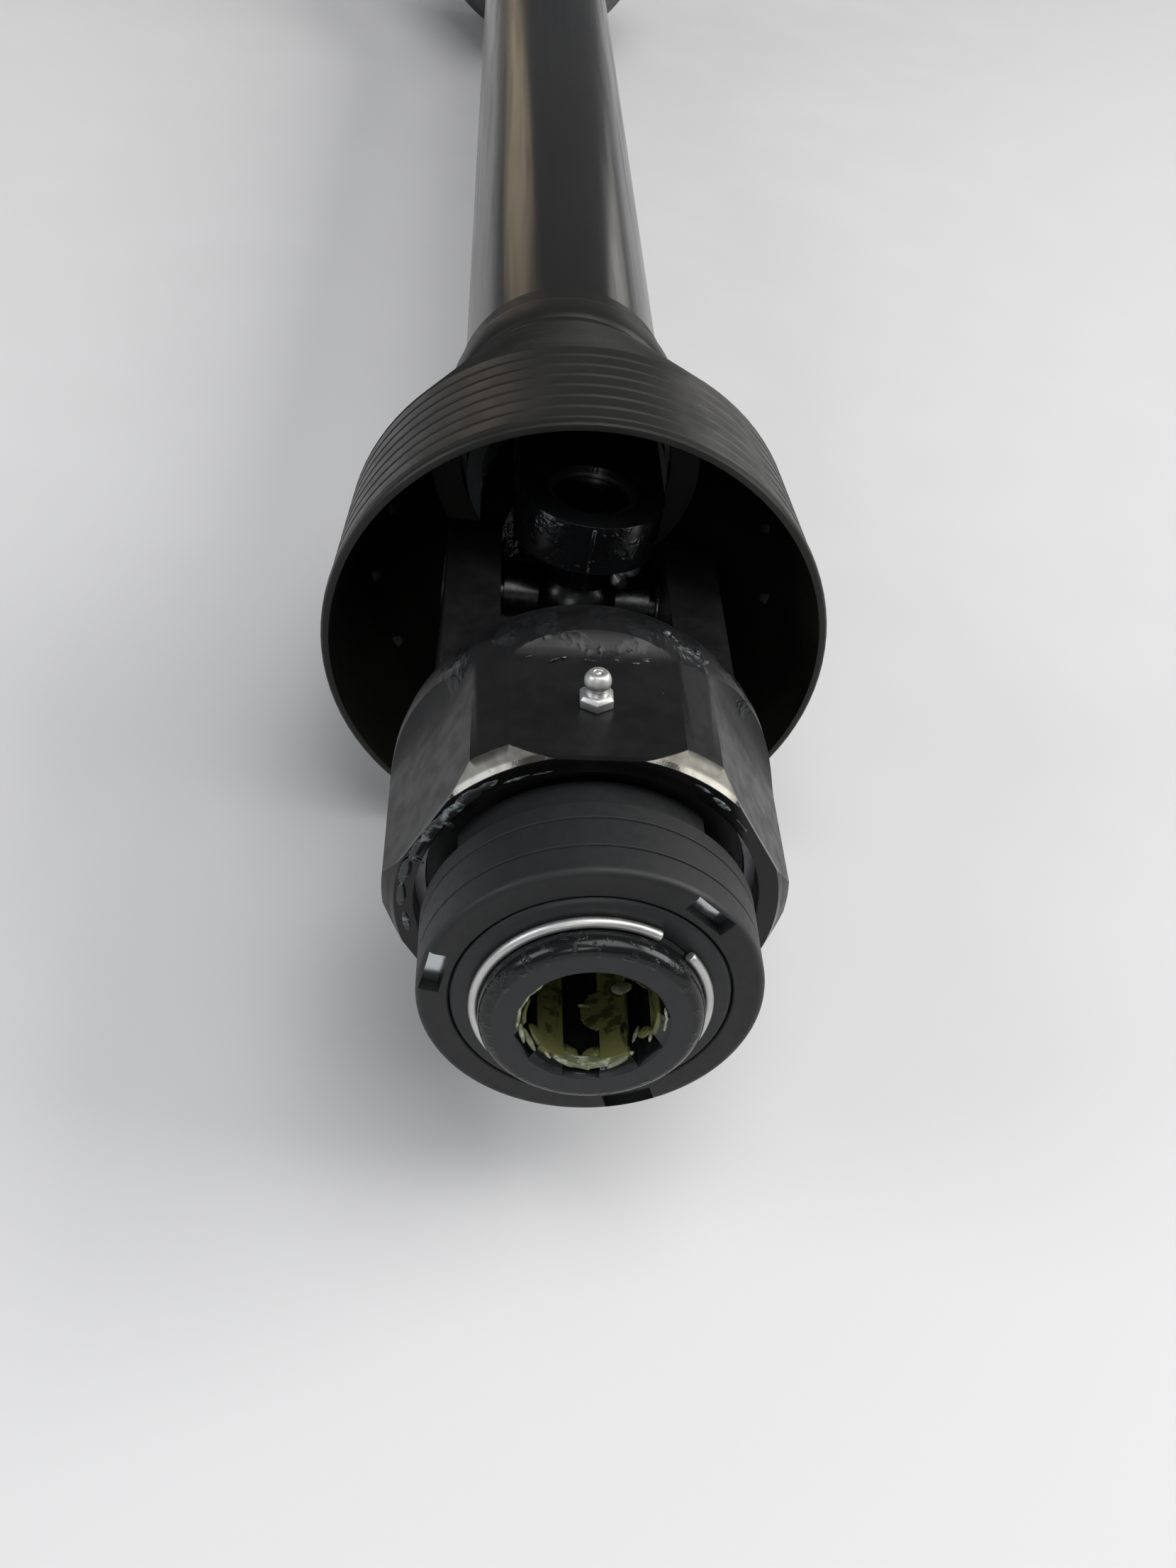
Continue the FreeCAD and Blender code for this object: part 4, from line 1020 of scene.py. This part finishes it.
# Each lump of grease: angle round the shaft, radius, place along it, its half sizes round, along and
# outwards in millimetres, and its twist about the outward line in degrees.
BORE_GREASE = (
    (150, 15.0, 22, 3.3, 16, 0.45, 0), (-150, 15.0, 22, 3.3, 16, 0.45, 0),
    (91, 15.0, 20, 3.0, 14, 0.4, 0), (-91, 15.0, 20, 3.0, 14, 0.4, 0),
    (158, 15.1, 18.5, 6.2, 6.6, 0.6, 0), (30, 15.1, 12, 3.0, 9, 0.4, 0), (-30, 15.1, 12, 3.0, 9, 0.4, 0),
    (-138, 15.6, 5.8, 4.4, 2.4, 0.7, 30), (118, 15.6, 6.4, 2.8, 1.6, 0.6, 25),
    (-168, 16.4, 6.4, 3.2, 2.0, 1.0, 15), (169, 16.4, 6.4, 3.0, 1.8, 0.9, -15),
    (104, 15.9, 4.2, 2.4, 1.2, 0.6, 25),
)
LIP_GREASE = (
    (-158, 15.9, 3.4, 5.4, 1.3, 0.8, 12), (-172, 16.4, 3.8, 5.6, 1.8, 1.0, 8),
    (174, 16.4, 3.9, 5.6, 1.9, 1.0, -4), (160, 16.0, 3.4, 5.2, 1.5, 0.9, -10),
    (146, 15.9, 2.6, 3.8, 1.1, 0.8, -16), (-166, 15.7, 2.4, 6.4, 0.4, 0.7, 7),
    (170, 15.8, 2.7, 6.4, 0.4, 0.7, -5), (-178, 15.9, 4.6, 6.0, 0.35, 0.8, 3),
    (-140, 15.7, 3.8, 4.0, 0.8, 0.6, 26), (-124, 16.0, 2.9, 3.6, 0.9, 0.7, 18),
    (-108, 16.4, 2.0, 3.8, 1.0, 0.7, 12), (-90, 16.9, 1.3, 3.6, 0.8, 0.6, 4),
    (-72, 17.2, 0.9, 3.4, 0.6, 0.45, 0), (-55, 17.3, 0.8, 2.6, 0.4, 0.4, 0),
    (86, 16.9, 1.3, 3.2, 0.45, 0.4, 4), (72, 17.1, 0.9, 2.6, 0.4, 0.4, 0),
    (110, 15.8, 4.0, 0.7, 2.0, 0.45, 30), (128, 15.4, 7.5, 0.7, 2.4, 0.45, 30),
    (140, 14.9, 23.5, 3.6, 2.0, 0.7, 20), (134, 14.9, 28.0, 0.6, 4.5, 0.45, 15),
    (156, 15.1, 22.5, 5.0, 0.5, 0.5, 22), (172, 15.8, 20.2, 2.8, 0.4, 1.0, 20),
)
FRONT_GREASE = (
    (-39, 45.3, 39.5, 3.2, 0.4, 1.0, 0), (-46, 45.0, 39.4, 4.2, 0.6, 1.7, 4),
    (-54, 44.5, 39.3, 4.6, 0.8, 1.6, -5), (-63, 44.5, 39.4, 4.4, 0.6, 1.8, 3),
    (-72, 44.9, 39.3, 4.6, 0.7, 1.4, 0), (-82, 45.4, 39.4, 4.4, 0.7, 1.5, -3),
    (-92, 45.3, 39.4, 4.2, 0.5, 1.2, 0), (-58, 43.2, 39.4, 0.8, 0.5, 2.4, 20),
    (-77, 43.6, 39.4, 0.7, 0.5, 2.2, -14), (-30, 43.9, 39.6, 3.6, 0.35, 0.5, 0),
    (-22, 43.6, 39.6, 2.6, 0.3, 0.4, 0), (28, 45.6, 39.6, 3.0, 0.3, 0.5, 0),
    (36, 45.0, 39.5, 3.4, 0.4, 0.8, 0), (47, 44.4, 39.5, 2.8, 0.35, 0.6, 0),
    (-104, 44.6, 39.5, 3.8, 0.4, 1.0, 0),
)
BACK_GREASE = (
    (-24, 49.0, 78.6, 1.0, 0.5, 0.35, 0), (-17, 47.6, 77.2, 1.8, 0.3, 0.25, 18),
    (-14, 47.2, 78.4, 0.7, 0.5, 0.35, 0), (-6, 46.8, 77.2, 1.8, 0.25, 0.2, -12),
    (2, 46.6, 78.2, 0.6, 0.5, 0.4, 0), (8, 47.2, 77.6, 1.6, 0.5, 0.35, 20),
    (12, 47.8, 79.0, 2.0, 1.2, 0.6, -10), (14.5, 48.4, 80.2, 1.2, 0.9, 0.6, 15),
    (16.5, 48.8, 78.6, 1.6, 0.4, 0.4, 8), (7, 48.2, 81.6, 2.4, 0.5, 0.2, 12),
    (2, 48.6, 83.8, 1.8, 0.4, 0.15, 20), (-3, 48.0, 80.4, 0.5, 0.4, 0.3, 0),
    (17.4, 49.7, 91.2, 1.3, 0.9, 0.8, 30), (20, 49.9, 89.6, 0.6, 1.5, 0.3, 40),
    (27.5, 50.2, 88.2, 0.9, 1.6, 0.5, -20), (30, 50.4, 85.6, 0.6, 2.6, 0.3, -35),
    (24, 50.1, 86.6, 1.8, 0.6, 0.2, 10),
)


def grease_mass(name, lumps, skin, ripple, body, finish):
    """Drops pressed flat and pulled out where they lie, melted into one skin with a rippled surface."""
    drops = []
    for degrees, radius, along, half_round, half_along, half_out, twist in lumps:
        clear_selection()
        bpy.ops.mesh.primitive_uv_sphere_add(segments=20, ring_count=10, radius=1)
        drop = bpy.context.object
        lie = Matrix.Rotation(math.radians(twist), 4, "Z")
        spread = Matrix.Diagonal((half_round * MM, half_along * MM, half_out * MM, 1))
        settle(drop, around(degrees, radius, along) @ lie @ spread)
        drops.append(drop)
    mass = joined(name, drops)
    use_modifier(mass, "REMESH", mode="VOXEL", voxel_size=skin * MM)
    ripples = bpy.data.textures.new(name + "_ripples", "CLOUDS")
    ripples.noise_scale = 2.2 * MM
    ripples.noise_depth = 3
    use_modifier(mass, "DISPLACE", texture=ripples, texture_coords="LOCAL", strength=ripple * MM,
                 mid_level=0.5)
    use_modifier(mass, "SMOOTH", factor=0.5, iterations=2)
    shade(mass, 180)
    return hand_over(mass, body, finish_for(finish))


class BuildStage(bpy.types.Operator):
    """Lay the floor, hang the lights and stand the camera"""

    bl_idname = "shaft.stage"
    bl_label = "Stage"

    def execute(self, context):
        lay_floor()
        light_scene()
        stand_camera()
        return {"FINISHED"}


def lay_floor():
    clear_selection()
    level = cad_low.z - 0.2 * MM
    bpy.ops.mesh.primitive_plane_add(size=14, location=(0, 0.5, level))
    floor = name_piece(bpy.context.object, "floor")
    made = Finish("floor_surface", colours().floor, 0.55)
    made.turn_to("Roughness", made.between(made.noise(60, 2), 0.4, 0.7), 0.65)
    floor.data.materials.append(made.done())


def light_scene():
    world = bpy.data.worlds.new("soft_room")
    bpy.context.scene.world = world
    world.use_nodes = True
    world.node_tree.nodes["Background"].inputs[0].default_value = (0.93, 0.96, 1.0, 1)
    world.node_tree.nodes["Background"].inputs[1].default_value = 0.14
    lamps = (
        ("window_right", (2.6, 0.45, 1.85), (2.6, 1.85), 92, (1.0, 0.99, 0.97)),
        ("ceiling", (0.3, -0.3, 2.6), (2.2, 2.0), 50, (1.0, 0.99, 0.98)),
        ("warm_wall", (-1.0, 3.4, 0.55), (0.7, 0.7), 1.2, (1.0, 0.78, 0.52)),
        ("pale_wall", (1.6, 3.4, 0.6), (0.9, 0.7), 2.5, (1.0, 0.98, 0.92)),
        ("front_window", (-0.5, -1.9, 1.25), (0.7, 0.6), 7, (1.0, 0.99, 0.97)),
        ("window_left", (-2.5, -0.45, 1.4), (1.4, 1.55), 29, (0.92, 0.96, 1.0)),
    )
    for name, place, (wide, tall), power, colour in lamps:
        bpy.ops.object.light_add(type="AREA", location=place)
        lamp = bpy.context.object
        lamp.name = name
        lamp.data.shape = "RECTANGLE"
        lamp.data.size = wide
        lamp.data.size_y = tall
        lamp.data.energy = power
        lamp.data.color = colour
        aim = Vector((0, 0.12, 0)) - Vector(place)
        lamp.rotation_euler = aim.to_track_quat("-Z", "Y").to_euler()


def stand_camera():
    """The photograph's camera, turned about the shaft so that the clutch's top flat is level."""
    bpy.ops.object.camera_add()
    camera = bpy.context.object
    camera.name = "photo_camera"
    chosen = sizes()
    tilt = Euler((math.pi / 2 - chosen.camera_down, 0, 0)).to_matrix().to_4x4()
    roll = Matrix.Rotation(chosen.camera_roll, 4, "Z")
    place = Matrix.Translation(Vector(chosen.camera_place))
    turn = Matrix.Rotation(-chosen.clutch_turn, 4, "Y")
    camera.matrix_world = turn @ place @ tilt @ roll
    camera.data.sensor_width = 36
    camera.data.lens = chosen.lens
    camera.data.clip_start = 0.01
    camera.data.clip_end = 50
    bpy.context.scene.camera = camera


class ShaftPanel(bpy.types.Panel):
    """Lists the pieces of the drive shaft and the stage"""

    bl_idname = "SHAFT_PT_pieces"
    bl_label = "Drive shaft"
    bl_space_type = "VIEW_3D"
    bl_region_type = "UI"
    bl_category = "Drive shaft"

    def draw(self, context):
        for owner in (context.scene.shaft_sizes, context.scene.shaft_colours):
            for field in owner.__annotations__:
                self.layout.prop(owner, field)
        for operator in OPERATORS:
            self.layout.operator(operator.bl_idname)


OPERATORS = (ClutchHousing, ClutchHub, KeysAndSprings, ClosingParts, GreaseNipples, ReleaseCollar,
             WindowPlates, LockingParts, FrontRings, CrossJoints, Yokes, ForgingSeams, ProfileTubes,
             GuardCones, ConeTabs, GuardTubes, ReleasePin, Grease, BuildStage)
CLASSES = (ShaftSizes, ShaftColours) + OPERATORS + (ShaftPanel,)


def register():
    for each in CLASSES:
        bpy.utils.register_class(each)
    bpy.types.Scene.shaft_sizes = bpy.props.PointerProperty(type=ShaftSizes)
    bpy.types.Scene.shaft_colours = bpy.props.PointerProperty(type=ShaftColours)


def unregister():
    del bpy.types.Scene.shaft_colours
    del bpy.types.Scene.shaft_sizes
    for each in reversed(CLASSES):
        bpy.utils.unregister_class(each)


def main():
    register()
    bpy.context.scene.view_settings.view_transform = "Standard"
    bpy.ops.shaft.clutch_housing()
    bpy.ops.shaft.clutch_hub()
    bpy.ops.shaft.keys_and_springs()
    bpy.ops.shaft.closing_parts()
    bpy.ops.shaft.grease_nipples()
    bpy.ops.shaft.release_collar()
    bpy.ops.shaft.window_plates()
    bpy.ops.shaft.locking_parts()
    bpy.ops.shaft.front_rings()
    bpy.ops.shaft.cross_joints()
    bpy.ops.shaft.yokes()
    bpy.ops.shaft.forging_seams()
    bpy.ops.shaft.profile_tubes()
    bpy.ops.shaft.guard_cones()
    bpy.ops.shaft.cone_tabs()
    bpy.ops.shaft.guard_tubes()
    bpy.ops.shaft.release_pin()
    bpy.ops.shaft.grease()
    bpy.ops.shaft.stage()


if __name__ == "__main__":
    main()
